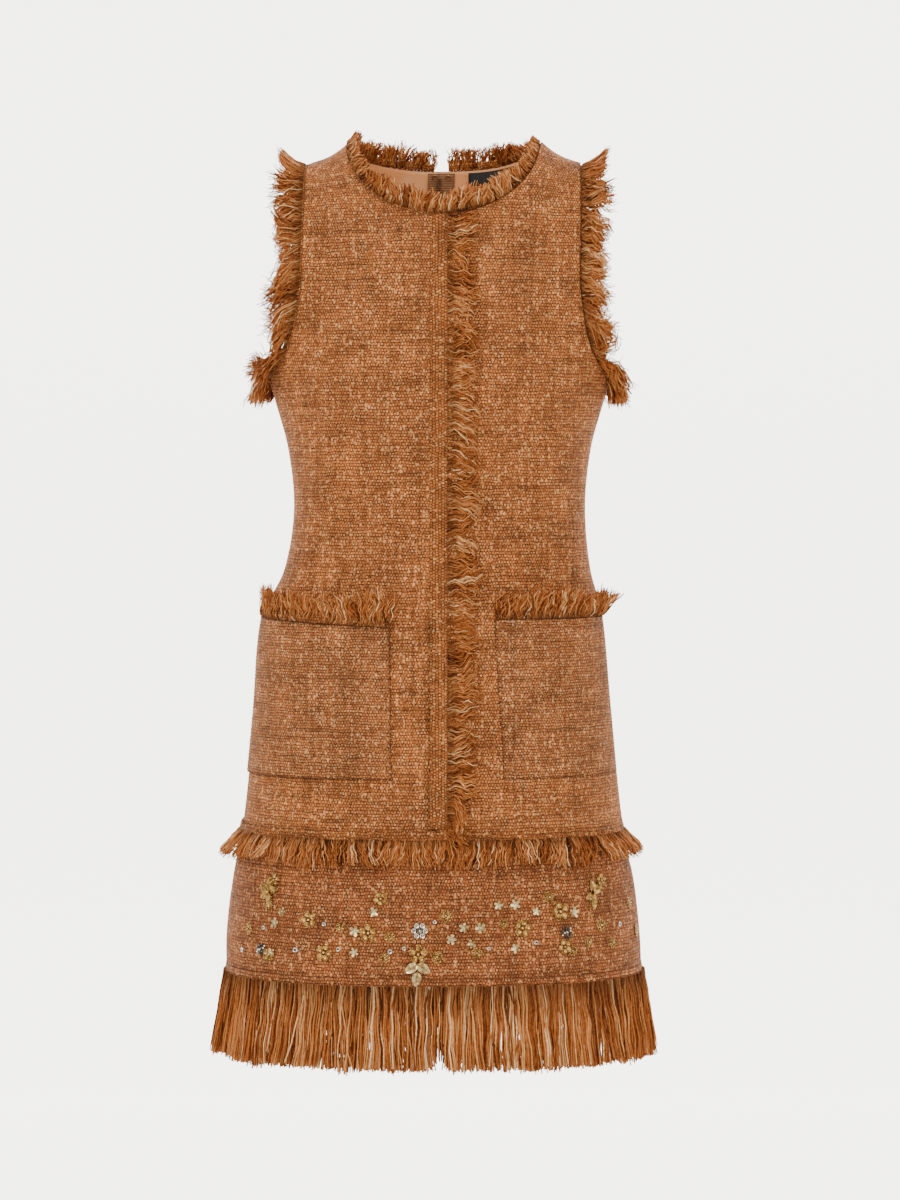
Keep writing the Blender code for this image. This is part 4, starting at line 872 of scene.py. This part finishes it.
PLACKET_HALF = 0.0078
placket_z = np.linspace(shoulder_z(NECK_HALF_WIDTH) - NECK_DROP[FRONT] - 0.0005, MID_SEAM_Z + 0.007, 190)
placket_shares = np.linspace(-1, 1, 9)
placket_x = placket_shares[:, None] * PLACKET_HALF


def on_front(x, z, lift):
    """A place on the front given by its distance from the centre line and its height."""
    angle, level = place(x, z, FRONT)
    return cloth(angle, level, FRONT, lift), skin_normal(angle, level, FRONT)


wave_lift = 0.0004 * np.sin(placket_z * 210) * (1 - placket_shares[:, None] ** 2)
centre_x = on_front(np.zeros(len(placket_z)), placket_z, 0)[0][:, 0]
placket_lift = (LAY_GAP + STRIP_THICKNESS) * np.interp(placket_shares, (-1, 0), (0.1, 1))[:, None]
placket_points, placket_out = on_front(placket_x - centre_x, placket_z[None, :], placket_lift + wave_lift)
tonal_rows.append((placket_points[-1], placket_out[-1]))
placket_places = np.stack(np.broadcast_arrays(placket_z[None, :] + 0.4, placket_x), -1)
placket = sew_sheet("front_placket_strip", [(placket_points, placket_places)], STRIP_THICKNESS, trim_tweed)
edge, outward = on_front(PLACKET_HALF * 0.93 - centre_x, placket_z, LAY_GAP + STRIP_THICKNESS / 2)
droop = np.clip((MID_SEAM_Z + 0.042 - placket_z) / 0.035, 0, 1)[:, None]
across = np.array((1.0, 0, 0)) * (1 - 0.55 * droop) - up * 0.9 * droop + outward * 0.25 * droop
front_yarns = lay_yarns("front_placket_fringe", *comb_out(
    edge, outward, across + outward * 0.22 - up * 0.05, across + outward * 0.02 - up * 0.16, 0.0305,
    3200, 0.014, 0.20, 47, 8, thickness=0.0014, curl=1.2, lift=0.12, gather=0.18, stray=0.16, crimp=0.62), trim_yarn)
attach(placket, "dress")
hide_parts("front_fringe")
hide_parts("front_fringe")

# ---------------------------------------------------------------- pocket trims
# Each pocket's mouth carries the same strip, frayed upwards, its tips leaning away from the body.

for side_name, seed in (("right", 5), ("left", 8)):
    shares = np.linspace(0, 1, 60)
    angle, level, gape = pocket_places(side_name, np.zeros(1), shares)
    mouth = cloth(angle, level, FRONT, WALL + LAY_GAP + gape)[0]
    out = skin_normal(angle, level, FRONT)[0]
    rise_up = np.broadcast_to(up, mouth.shape)
    pocket_strip = sew_sheet(f"pocket_trim_strip_{side_name}",
                             [strip_grid(mouth + up * SEAM_GAP, rise_up, out, STRIP)], 0.0018, trim_tweed)
    level_out = unit(out * (1, 1, 0))
    side_share = np.abs(level_out[:, :1])
    flare = -0.15 if side_name == "right" else 1.0
    pocket_yarns = lay_yarns(f"pocket_trim_fringe_{side_name}", *comb_out(
        mouth + up * STRIP * 0.15 - out * 0.0009, out, up + level_out * flare * (0.2 + 0.3 * side_share),
        up * 0.8 + level_out * flare * (0.3 + 0.5 * side_share), 0.0278, 5600, 0.009, 0.26, seed, 6,
        curl=1.1, lift=0.30, thickness=0.0034, gather=0.05, stray=0.22, crimp=0.55), trim_yarn)
    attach(pocket_strip, "dress")
    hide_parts(f"pocket_fringe_{side_name}")
    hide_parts(f"pocket_fringe_{side_name}")

# ---------------------------------------------------------------- zip
# A concealed coil zip closes the centre back. Its coils are sewn along the edges of two ribbed
# tapes inside the lining, and a gold-plated slider with a flat tab runs on them.

ZIP_END_Z = -0.402
ZIP_TAPE_DEPTH = WALL + LINING + 2 * SEAM_GAP
TAPE_WIDTH = 0.013
COIL_PITCH = 0.0016
COIL_RADIUS = 0.0011


def plated(name, deep, bright, roughness):
    """Plated zinc, cast and tumbled: bright where it is rubbed, duller where the patina stayed."""
    finish = bpy.data.materials.new(name)
    finish.use_nodes = True
    tree = finish.node_tree
    shader = tree.nodes["Principled BSDF"]
    position = add_node(tree, "ShaderNodeTexCoord")
    patina = add_node(tree, "ShaderNodeTexNoise", {"Scale": 330, "Detail": 3},
                      {0: position.outputs["Object"]})
    colour = add_node(tree, "ShaderNodeValToRGB", {}, {0: patina.outputs["Fac"]})
    set_ramp(colour, [(0.36, deep), (0.62, bright)])
    wear = add_node(tree, "ShaderNodeBump", {"Strength": 0.25, "Distance": 0.0002},
                    {"Height": patina.outputs["Fac"]})
    tree.links.new(colour.outputs[0], shader.inputs["Base Color"])
    tree.links.new(wear.outputs[0], shader.inputs["Normal"])
    shader.inputs["Metallic"].default_value = 1
    shader.inputs["Roughness"].default_value = roughness
    return finish


def woven_rib(name, dark, light, pitch, roughness):
    """Polyester tape woven with a fine rib across it, at a pitch in millimetres. Its colour is painted darker in the
    rib's troughs as shade.
    """
    finish = bpy.data.materials.new(name)
    finish.use_nodes = True
    tree = finish.node_tree
    shader = tree.nodes["Principled BSDF"]
    position = add_node(tree, "ShaderNodeTexCoord")
    rib = add_node(tree, "ShaderNodeTexWave", {
        "bands_direction": "Z", "Scale": 1000 * 2 * math.pi / (20 * pitch), "Distortion": 0.6},
        {0: position.outputs["Object"]})
    # Painted shade: the same wave darkens the colour in the troughs that the bump sinks.
    colour = add_node(tree, "ShaderNodeValToRGB", {}, {0: rib.outputs["Fac"]})
    set_ramp(colour, [(0.2, dark), (0.8, light)])
    ridge = add_node(tree, "ShaderNodeBump", {"Strength": 0.7, "Distance": 0.0003},
                     {"Height": rib.outputs["Fac"]})
    tree.links.new(colour.outputs[0], shader.inputs["Base Color"])
    tree.links.new(ridge.outputs[0], shader.inputs["Normal"])
    shader.inputs["Roughness"].default_value = roughness
    return finish


gold_plate = plated("gold_plated_zinc", "#a87c46", "#e2bb7e", 0.30)
zip_weave = woven_rib("polyester_zip_tape", "#5c3418", "#a8794e", 1.6, 0.7)
for node_name in ("zip_slider", "zip_pull_tab"):
    node_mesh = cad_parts[node_name].data
    node_mesh.materials.clear()
    node_mesh.materials.append(gold_plate)
tape_z = np.linspace(neck_edge[0, 2] - 0.0005, ZIP_END_Z, 70)[:, None]
for side_name, hand in (("right", RIGHT), ("left", LEFT)):
    angle, level = place(hand * np.linspace(-0.0004, TAPE_WIDTH, 6)[None, :], tape_z, BACK)
    points = cloth(angle, level, BACK, -ZIP_TAPE_DEPTH)
    points[:, 0, 0] = hand * SEAM_GAP / 2
    tape = sew_sheet(f"zip_tape_woven_{side_name}", [(points, weave_at(angle, level, BACK))], 0.0008, zip_weave)
    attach(tape, "dress")
    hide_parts(f"zip_tape_{side_name}")
coil_turns = (neck_edge[0, 2] - 0.004 - ZIP_END_Z) / COIL_PITCH
coil_z = np.linspace(neck_edge[0, 2] - 0.004, ZIP_END_Z, int(coil_turns * 7))
angle, level = place(0.0, coil_z, BACK)
coil_line = cloth(angle, level, BACK, -ZIP_TAPE_DEPTH - COIL_RADIUS - 0.001)
coil_out = skin_normal(angle, level, BACK)
coil_line[:, 0] = 0
turn = 2 * np.pi * np.arange(len(coil_z)) / 7
coils = []
for hand in (RIGHT, LEFT):
    across_coil = np.array((hand * 1.0, 0, 0))
    coils.append(coil_line + across_coil * (0.0010 + 0.0010 * np.cos(turn))[:, None]
                 + coil_out * (COIL_RADIUS * 0.6 * np.sin(turn))[:, None])
lay_yarns("zip_coils", np.stack(coils), np.full(2, 0.00028), np.full(2, 0.3), zip_weave, "zip_tape", 1.0)

# ---------------------------------------------------------------- hook and eye
# A bent-wire hook and eye hold the top of the zip together, inside the neckline. They are plated
# like the slider.

for node_name in ("neck_hook", "neck_eye"):
    node_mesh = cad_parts[node_name].data
    node_mesh.materials.clear()
    node_mesh.materials.append(gold_plate)
    node_mesh.shade_smooth()

# ---------------------------------------------------------------- label
# A bare black label, woven from polyester, lies inside the back neck on the wearer's left, flat
# against the lining.

LABEL_DEPTH = WALL + LINING + 0.0008 + 5 * SEAM_GAP
LABEL_HEIGHT = 0.013
label_weave = woven_rib("polyester_damask_label", "#0b0a0b", "#242225", 0.5, 0.55)
label_x, label_drop = np.linspace(0.026, 0.068, 15), np.linspace(0.0005, LABEL_HEIGHT, 7)
label_edge = shoulder_z(NECK_HALF_WIDTH) - NECK_DROP[BACK] * np.sqrt(1 - (label_x / NECK_HALF_WIDTH) ** 2)
angle, level = place(label_x[None, :], label_edge[None, :] - label_drop[:, None], BACK)
label = sew_sheet("label_cloth", [(cloth(angle, level, BACK, -LABEL_DEPTH), weave_at(angle, level, BACK))],
                  0.0006, label_weave)
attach(label, "dress")
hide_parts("label")

# ---------------------------------------------------------------- stitching
# Brown polyester thread runs in lockstitch along every seam, sunk in the loose weave. Round the
# pockets and along the mid and hem strips the thread is dark, partly as painted shade for the
# shadow lines at those edges, so it draws a dark line there.

STITCH = 0.0027
STITCH_GAP = 0.0006


def stitch_line(points, normals):
    """Paths of stitches along a line on the cloth, each sunk in at its ends."""
    reach = np.concatenate([[0], np.cumsum(np.linalg.norm(np.diff(points, axis=0), axis=1))])
    starts = np.arange(0, reach[-1] - STITCH, STITCH + STITCH_GAP)
    at = starts[:, None] + np.array((0, 0.3, 0.7, 1)) * STITCH
    along, out = (np.stack([np.interp(at, reach, values[:, axis]) for axis in range(3)], -1)
                  for values in (points, normals))
    return along + out * np.array((-0.0003, 0.0002, 0.0002, -0.0003))[:, None]


side_levels = 1 + UNDERARM_Z - np.linspace(UNDERARM_Z, BAND_END_Z, 90)
for hand in (RIGHT, LEFT):
    side_angles = np.full(90, hand * RIGHT_ANGLE)
    tonal_rows.append((cloth(side_angles, side_levels, FRONT), skin_normal(side_angles, side_levels, FRONT)))
# The dark thread round the pockets and along the mid and hem strips is partly painted shade for the shadow lines at
# those edges.
for name, rows_of_thread, dark, light in (("dark", seam_rows, "#3f1c0a", "#6a3719"),
                                          ("tonal", tonal_rows, "#7a3f1a", "#b0703e")):
    thread = woven_rib(f"polyester_thread_{name}", dark, light, 0.5, 0.6)
    stitches = np.concatenate([stitch_line(points, normals) for points, normals in rows_of_thread])
    lay_yarns(f"seam_stitches_{name}", stitches, np.full(len(stitches), 0.00030),
              np.full(len(stitches), 0.3), thread, "fringe_yarn", 0.8)

# ---------------------------------------------------------------- ornaments
# Cast flowers, leaves, rings and filigree discs, with glass beads, are sewn on the band by hand in
# a loose scatter. Round the back the scatter is a guess, taken from the front.

SWAY_AT_BAND = 0.005
antique_gold = plated("antique_gold_plated_zinc", "#7b5526", "#deb069", 0.27)
pale_gold = plated("pale_gold_plated_zinc", "#b08a52", "#f6dba2", 0.24)
oxidised = plated("oxidised_silver_bead", "#2a2620", "#8b8676", 0.30)
silver = plated("silver_plated_sequin", "#cfc9bb", "#f6f2e8", 0.22)


def add_bead(place_at, radius, finish, flat=1.0):
    """A small bead, flattened towards the cloth."""
    bpy.ops.object.select_all(action="DESELECT")
    bpy.ops.mesh.primitive_uv_sphere_add(segments=8, ring_count=6, radius=radius, location=place_at)
    bead = bpy.context.active_object
    bead.scale.z = flat
    bead.data.materials.append(finish)
    return bead


def add_ring(place_at, radius, wire, finish, bends=10):
    """A ring of round wire lying on the cloth."""
    bpy.ops.object.select_all(action="DESELECT")
    bpy.ops.mesh.primitive_torus_add(major_segments=bends, minor_segments=5, major_radius=radius,
                                     minor_radius=wire, location=place_at)
    ring = bpy.context.active_object
    ring.data.materials.append(finish)
    return ring


def join_parts(name, parts):
    """Joins parts in one object, with their places in its mesh."""
    bpy.ops.object.select_all(action="DESELECT")
    for part in parts:
        part.select_set(True)
    bpy.context.view_layer.objects.active = parts[0]
    if len(parts) > 1:
        bpy.ops.object.join()
    whole = bpy.context.active_object
    whole.name = name
    bpy.ops.object.transform_apply(location=True, rotation=True, scale=True)
    bpy.ops.object.shade_smooth_by_angle(angle=math.radians(50))
    return whole


def add_petal(turn, reach, radius, tilt, finish):
    """A round cupped petal, pressed from sheet and tilted up from the flower's middle."""
    bpy.ops.object.select_all(action="DESELECT")
    bpy.ops.mesh.primitive_uv_sphere_add(segments=14, ring_count=10, radius=radius)
    petal = bpy.context.active_object
    bpy.ops.object.mode_set(mode="EDIT")
    bpy.ops.mesh.select_all(action="SELECT")
    bpy.ops.mesh.bisect(plane_co=(0, 0, -radius * 0.35), plane_no=(0, 0, 1), clear_outer=True)
    bpy.ops.mesh.select_all(action="SELECT")
    bpy.ops.transform.resize(value=(1, 0.95, 0.75))
    bpy.ops.object.mode_set(mode="OBJECT")
    wall = petal.modifiers.new("wall", "SOLIDIFY")
    wall.thickness = 0.0004
    wall.offset = -1
    bpy.ops.object.modifier_apply(modifier=wall.name)
    petal.data.materials.append(finish)
    petal.rotation_euler = (0, -tilt, turn)
    petal.location = (reach * math.cos(turn), reach * math.sin(turn), radius * 0.85)
    return petal


def add_leaf(turn, length, half_width, finish):
    """A pressed leaf, folded a little along its midrib, with a raised rib of wire."""
    bpy.ops.object.select_all(action="DESELECT")
    bpy.ops.mesh.primitive_grid_add(x_subdivisions=9, y_subdivisions=4, size=1)
    leaf = bpy.context.active_object
    for vertex in leaf.data.vertices:
        along = vertex.co.x + 0.5
        wide = half_width * math.sin(math.pi * along ** 0.8) ** 0.75 if 0 < along < 1 else 0
        side_share = 2 * vertex.co.y
        vertex.co = (length * along, wide * side_share,
                     0.0006 + 0.0007 * abs(side_share) + 0.0010 * math.sin(math.pi * along))
    wall = leaf.modifiers.new("wall", "SOLIDIFY")
    wall.thickness = 0.0005
    bpy.ops.object.modifier_apply(modifier=wall.name)
    bpy.ops.object.mode_set(mode="EDIT")
    bpy.ops.mesh.select_all(action="SELECT")
    bpy.ops.mesh.remove_doubles(threshold=0.00002)
    bpy.ops.mesh.normals_make_consistent(inside=False)
    bpy.ops.object.mode_set(mode="OBJECT")
    leaf.data.materials.append(finish)
    bpy.ops.object.select_all(action="DESELECT")
    bpy.ops.mesh.primitive_cone_add(vertices=6, radius1=0.00045, radius2=0.00012, depth=length * 1.05,
                                    location=(length * 0.45, 0, 0.0016), rotation=(0, RIGHT_ANGLE, 0))
    rib = bpy.context.active_object
    rib.data.materials.append(antique_gold)
    whole = join_parts("leaf_part", [leaf, rib])
    whole.rotation_euler.z = turn
    return whole


def add_star(points, reach, finish):
    """A small pressed star flower with a bead in its middle."""
    bpy.ops.object.select_all(action="DESELECT")
    bpy.ops.mesh.primitive_circle_add(vertices=4 * points, radius=reach, fill_type="TRIFAN")
    star = bpy.context.active_object
    for number, vertex in enumerate(star.data.vertices):
        distance = math.hypot(vertex.co.x, vertex.co.y)
        if distance > reach / 2:
            share = (1.0, 0.88, 0.42, 0.88)[round(math.atan2(vertex.co.y, vertex.co.x) / (math.pi / (2 * points))) % 4]
            vertex.co = (vertex.co.x * share, vertex.co.y * share, 0.0004 + 0.0012 * share ** 2)
        else:
            vertex.co.z = 0.0004
    wall = star.modifiers.new("wall", "SOLIDIFY")
    wall.thickness = 0.0004
    bpy.ops.object.modifier_apply(modifier=wall.name)
    star.data.materials.append(finish)
    return [star, add_bead((0, 0, 0.0010), 0.0009, silver)]


def sew_on(model, x, z, scale=1.0, turn=0.0, lift=0.0004, side=FRONT):
    """A copy of a model with its own mesh, laid on the band at a place and turned in its plane."""
    angle, level = place(x, z, side)
    centre, out = cloth(angle, level, side, lift), skin_normal(angle, level, side)
    right = unit(np.cross(up, out))
    rise = np.cross(out, right)
    columns = (right * math.cos(turn) + rise * math.sin(turn),
               rise * math.cos(turn) - right * math.sin(turn), out)
    matrix = Matrix([[*(scale * column[row] for column in columns), centre[row]] for row in range(3)]
                    + [[0, 0, 0, 1]])
    mesh = model.data.copy()
    mesh.transform(matrix)
    copy = bpy.data.objects.new(model.name, mesh)
    bpy.context.scene.collection.objects.link(copy)
    return copy


def finish_ornament(name, parts, node_name=None):
    piece = join_parts(name, parts)
    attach(piece, "dress")
    if node_name:
        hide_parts(node_name)
    return piece


PETAL_FLOWER = 0.0078
fifth = 2 * math.pi / 5
petal_flower = join_parts("petal_flower", [
    *(add_petal(fifth * number, 0.0044, 0.0032, 0.30, antique_gold) for number in range(5)),
    add_bead((0, 0, 0.0016), 0.0013, pale_gold)])
star_flower = join_parts("star_flower", add_star(5, 0.0047, pale_gold))
filigree_disc = join_parts("filigree_disc", [
    *(add_ring((0.0039 * math.cos(turn), 0.0039 * math.sin(turn), 0.0008), 0.0012, 0.0004, antique_gold, 8)
      for turn in np.linspace(0, 2 * math.pi, 9)[:-1]),
    add_ring((0, 0, 0.0010), 0.0022, 0.0005, antique_gold), add_bead((0, 0, 0.0012), 0.0011, pale_gold)])
small_ring = join_parts("small_ring", [add_ring((0, 0, 0.0006), 0.0016, 0.0006, silver, 12)])
bead_cluster = join_parts("bead_cluster", [
    add_bead((0.00135 * math.sqrt(number) * math.cos(2.4 * number), 0.00135 * math.sqrt(number) * math.sin(2.4 * number),
              0.0024 - 0.0001 * number), 0.0011, oxidised if number % 4 else silver)
    for number in range(19)])
cup_cluster = join_parts("cup_cluster", [
    part for turn in np.linspace(0, 2 * math.pi, 7)[:-1]
    for part in (add_ring((0.0052 * math.cos(turn), 0.0052 * math.sin(turn), 0.0009), 0.0019, 0.0006, silver, 12),
                 add_bead((0.0052 * math.cos(turn), 0.0052 * math.sin(turn), 0.0008), 0.0010, pale_gold))]
    + [add_ring((0, 0, 0.0010), 0.0019, 0.0006, oxidised, 12), add_bead((0, 0, 0.0012), 0.0011, silver)])
bead = join_parts("bead", [add_bead((0, 0, 0.0010), 0.0010, antique_gold)])

# Flower node, place across and up, reach, turn in degrees
for number, (x, z, reach, turn) in enumerate((
        (-0.146, -0.711, 0.0070, 10), (-0.109, -0.678, 0.0078, 36), (-0.096, -0.706, 0.0080, 0),
        (-0.057, -0.688, 0.0080, 20), (-0.046, -0.658, 0.0066, 50), (-0.013, -0.706, 0.0086, 18),
        (0.079, -0.684, 0.0082, 5), (0.111, -0.671, 0.0086, 30), (0.116, -0.702, 0.0070, 44)), 1):
    finish_ornament(f"petal_flower_{number}",
                    [sew_on(petal_flower, x, z, reach / PETAL_FLOWER, math.radians(turn))], f"flower_{number}")

for name, x, z, leaves, tassel in (
        ("centre", -0.014, -0.7150, ((328, 0.0135, 0.0043, 0), (212, 0.0135, 0.0043, 0),
                                     (262, 0.0135, 0.0042, 0.0065)), 0),
        ("right", -0.146, -0.656, ((20, 0.0120, 0.0036, 0), (85, 0.0150, 0.0038, 0), (150, 0.0130, 0.0038, 0),
                                   (215, 0.0110, 0.0034, 0), (285, 0.0150, 0.0030, 0)), 4),
        ("left", 0.143, -0.657, ((40, 0.0150, 0.0038, 0), (100, 0.0130, 0.0036, 0), (205, 0.0110, 0.0036, 0),
                                 (262, 0.0150, 0.0034, 0)), 1)):
    leaf_parts = []
    for turn, length, half_width, drop in leaves:
        model = join_parts("leaf", [add_leaf(math.radians(turn), length, half_width,
                                             pale_gold if name == "centre" else antique_gold)])
        leaf_parts.append(sew_on(model, x, z - drop))
        bpy.data.objects.remove(model)
    if name != "centre":
        leaf_parts.append(sew_on(petal_flower, x + 0.006, z + 0.011, 0.75, 0.3, 0.0018))
        leaf_parts.append(sew_on(bead, x, z, 1.6, 0, 0.0012))
    for strand in range(tassel):
        for number in range(7):
            leaf_parts.append(sew_on(bead, x + 0.0022 * (strand - 1.5), z - 0.004 - 0.0021 * number, 0.8, 0, 0.0010))
    finish_ornament(f"leaf_sprig_cast_{name}", leaf_parts, f"leaf_sprig_{name}")

star_places = [
    (-0.1387, -0.6720), (-0.0574, -0.6697), (-0.0741, -0.6865), (-0.0748, -0.7050), (0.0115, -0.6932),
    (0.0295, -0.6972), (0.0224, -0.6830), (0.0372, -0.6832), (0.0529, -0.6639), (0.0679, -0.6635),
    (0.0861, -0.6701), (0.0678, -0.7018), (0.1193, -0.6723), (-0.1488, -0.7089), (-0.1456, -0.6825)]
disc_places = [
    (-0.0871, -0.6835), (-0.0429, -0.6911), (0.0066, -0.6724), (-0.0472, -0.7091), (-0.0013, -0.7085),
    (0.0575, -0.6797), (0.0339, -0.7052), (0.1450, -0.6855), (0.1336, -0.6993), (0.0970, -0.6581),
    (0.1183, -0.7058), (0.1713, -0.6698), (0.1786, -0.6960), (0.1548, -0.7020), (-0.1697, -0.6904)]
ring_places = [
    (-0.1008, -0.6812), (-0.0888, -0.7027), (-0.1265, -0.7050), (-0.1560, -0.6878), (-0.1763, -0.7101),
    (-0.0033, -0.6779), (0.0862, -0.6971), (-0.0427, -0.7038), (-0.0304, -0.7011), (0.1621, -0.6868),
    (0.0445, -0.7014)]
for name, model, places_on_band in (("star_flowers", star_flower, star_places),
                                    ("filigree_discs", filigree_disc, disc_places),
                                    ("small_rings", small_ring, ring_places)):
    parts = []
    for number, (x, z) in enumerate(places_on_band):
        size = 0.85 + 0.25 * ((number * 7) % 5) / 4
        parts.append(sew_on(model, x + SWAY_AT_BAND, z, size, number * 1.9))
        parts.append(sew_on(model, -x * 0.97, z + 0.002 * ((number % 3) - 1), size, number * 1.3, side=BACK))
    finish_ornament(name, parts)
finish_ornament("bead_clusters", [
    sew_on(bead_cluster, -0.1582 + SWAY_AT_BAND, -0.7071), sew_on(bead_cluster, 0.1123 + SWAY_AT_BAND, -0.6895),
    sew_on(bead_cluster, 0.05, -0.690, side=BACK), sew_on(bead_cluster, -0.09, -0.694, side=BACK)])
finish_ornament("sequin_cups", [
    sew_on(cup_cluster, -0.0167 + SWAY_AT_BAND, -0.6856), sew_on(cup_cluster, 0.012, -0.674, side=BACK)])
finish_ornament("back_flowers", [
    sew_on(petal_flower, x, z, 0.95, x * 40, side=BACK)
    for x, z in ((-0.140, -0.698), (-0.105, -0.706), (-0.062, -0.672), (-0.028, -0.702), (0.030, -0.707),
                 (0.066, -0.676), (0.100, -0.703), (0.142, -0.688))])
for model in (petal_flower, star_flower, filigree_disc, small_ring, bead_cluster, cup_cluster, bead):
    bpy.data.objects.remove(model)

# ---------------------------------------------------------------- studio
# A pale floor that curves up into a backdrop, broad soft lights, and a level camera 4 m away.

EYE_Z = -0.2605
PIXEL = 0.000914
DISTANCE = 4.0
bpy.ops.object.select_all(action="DESELECT")
bpy.ops.mesh.primitive_plane_add(size=1, location=(0, 0, 0))
backdrop = bpy.context.active_object
backdrop.name = "studio_floor"
sweep = bmesh.new()
profile = [(-8, -1.6), (5.0, -1.6)]
profile += [(5.0 + 2.0 * math.sin(turn), -1.6 + 2.0 * (1 - math.cos(turn)))
            for turn in np.linspace(0.1, RIGHT_ANGLE, 14)]
profile += [(7.0, 8.0)]
lines = [[sweep.verts.new((x, y, z)) for x in (-9, 9)] for y, z in profile]
for near, far in zip(lines, lines[1:]):
    sweep.faces.new([near[0], near[1], far[1], far[0]]).smooth = True
sweep.to_mesh(backdrop.data)
sweep.free()
paper = bpy.data.materials.new("matt_paper_backdrop")
paper.use_nodes = True
paper.node_tree.nodes["Principled BSDF"].inputs["Base Color"].default_value = linear("#f4f3ef")
paper.node_tree.nodes["Principled BSDF"].inputs["Roughness"].default_value = 0.95
paper_place = add_node(paper.node_tree, "ShaderNodeTexCoord")
paper_parts = add_node(paper.node_tree, "ShaderNodeSeparateXYZ", {}, {0: paper_place.outputs["Object"]})
paper_glow = add_node(paper.node_tree, "ShaderNodeMapRange", {"From Min": 2.5, "From Max": 3.7, "To Max": 3.6},
                      {"Value": paper_parts.outputs[1]})
paper.node_tree.nodes["Principled BSDF"].inputs["Emission Color"].default_value = linear("#f6f5f0")
paper.node_tree.links.new(paper_glow.outputs[0],
                          paper.node_tree.nodes["Principled BSDF"].inputs["Emission Strength"])
backdrop.data.materials.append(paper)

world = bpy.data.worlds.new("soft_studio_daylight")
world.use_nodes = True
world.node_tree.nodes["Background"].inputs["Color"].default_value = linear("#f7f4ee")
world.node_tree.nodes["Background"].inputs["Strength"].default_value = 0.85
bpy.context.scene.world = world
for name, place_at, size, power in (
        ("key_softbox", (-1.6, -2.6, 1.4), 2.0, 60),
        ("fill_softbox", (2.4, -2.4, 0.4), 2.4, 30),
        ("top_softbox", (0, 0.2, 2.4), 2.4, 30),
        ("back_softbox", (0.5, 2.6, 1.0), 2.4, 2)):
    light = bpy.data.lights.new(name, "AREA")
    light.size = size
    light.energy = power
    lamp = bpy.data.objects.new(name, light)
    bpy.context.scene.collection.objects.link(lamp)
    lamp.location = place_at
    aim = Vector((0, 0, -0.4)) - lamp.location
    lamp.rotation_euler = aim.to_track_quat("-Z", "Y").to_euler()

lens = bpy.data.cameras.new("camera")
lens.sensor_fit = "VERTICAL"
lens.sensor_height = 36
lens.lens = 36 * DISTANCE / (1200 * PIXEL)
camera = bpy.data.objects.new("camera", lens)
bpy.context.scene.collection.objects.link(camera)
camera.location = (0, -DISTANCE, EYE_Z)
aim = Vector((11.5 * PIXEL, 0, EYE_Z - 150 * PIXEL)) - camera.location
camera.rotation_euler = aim.to_track_quat("-Z", "Y").to_euler()
bpy.context.scene.camera = camera
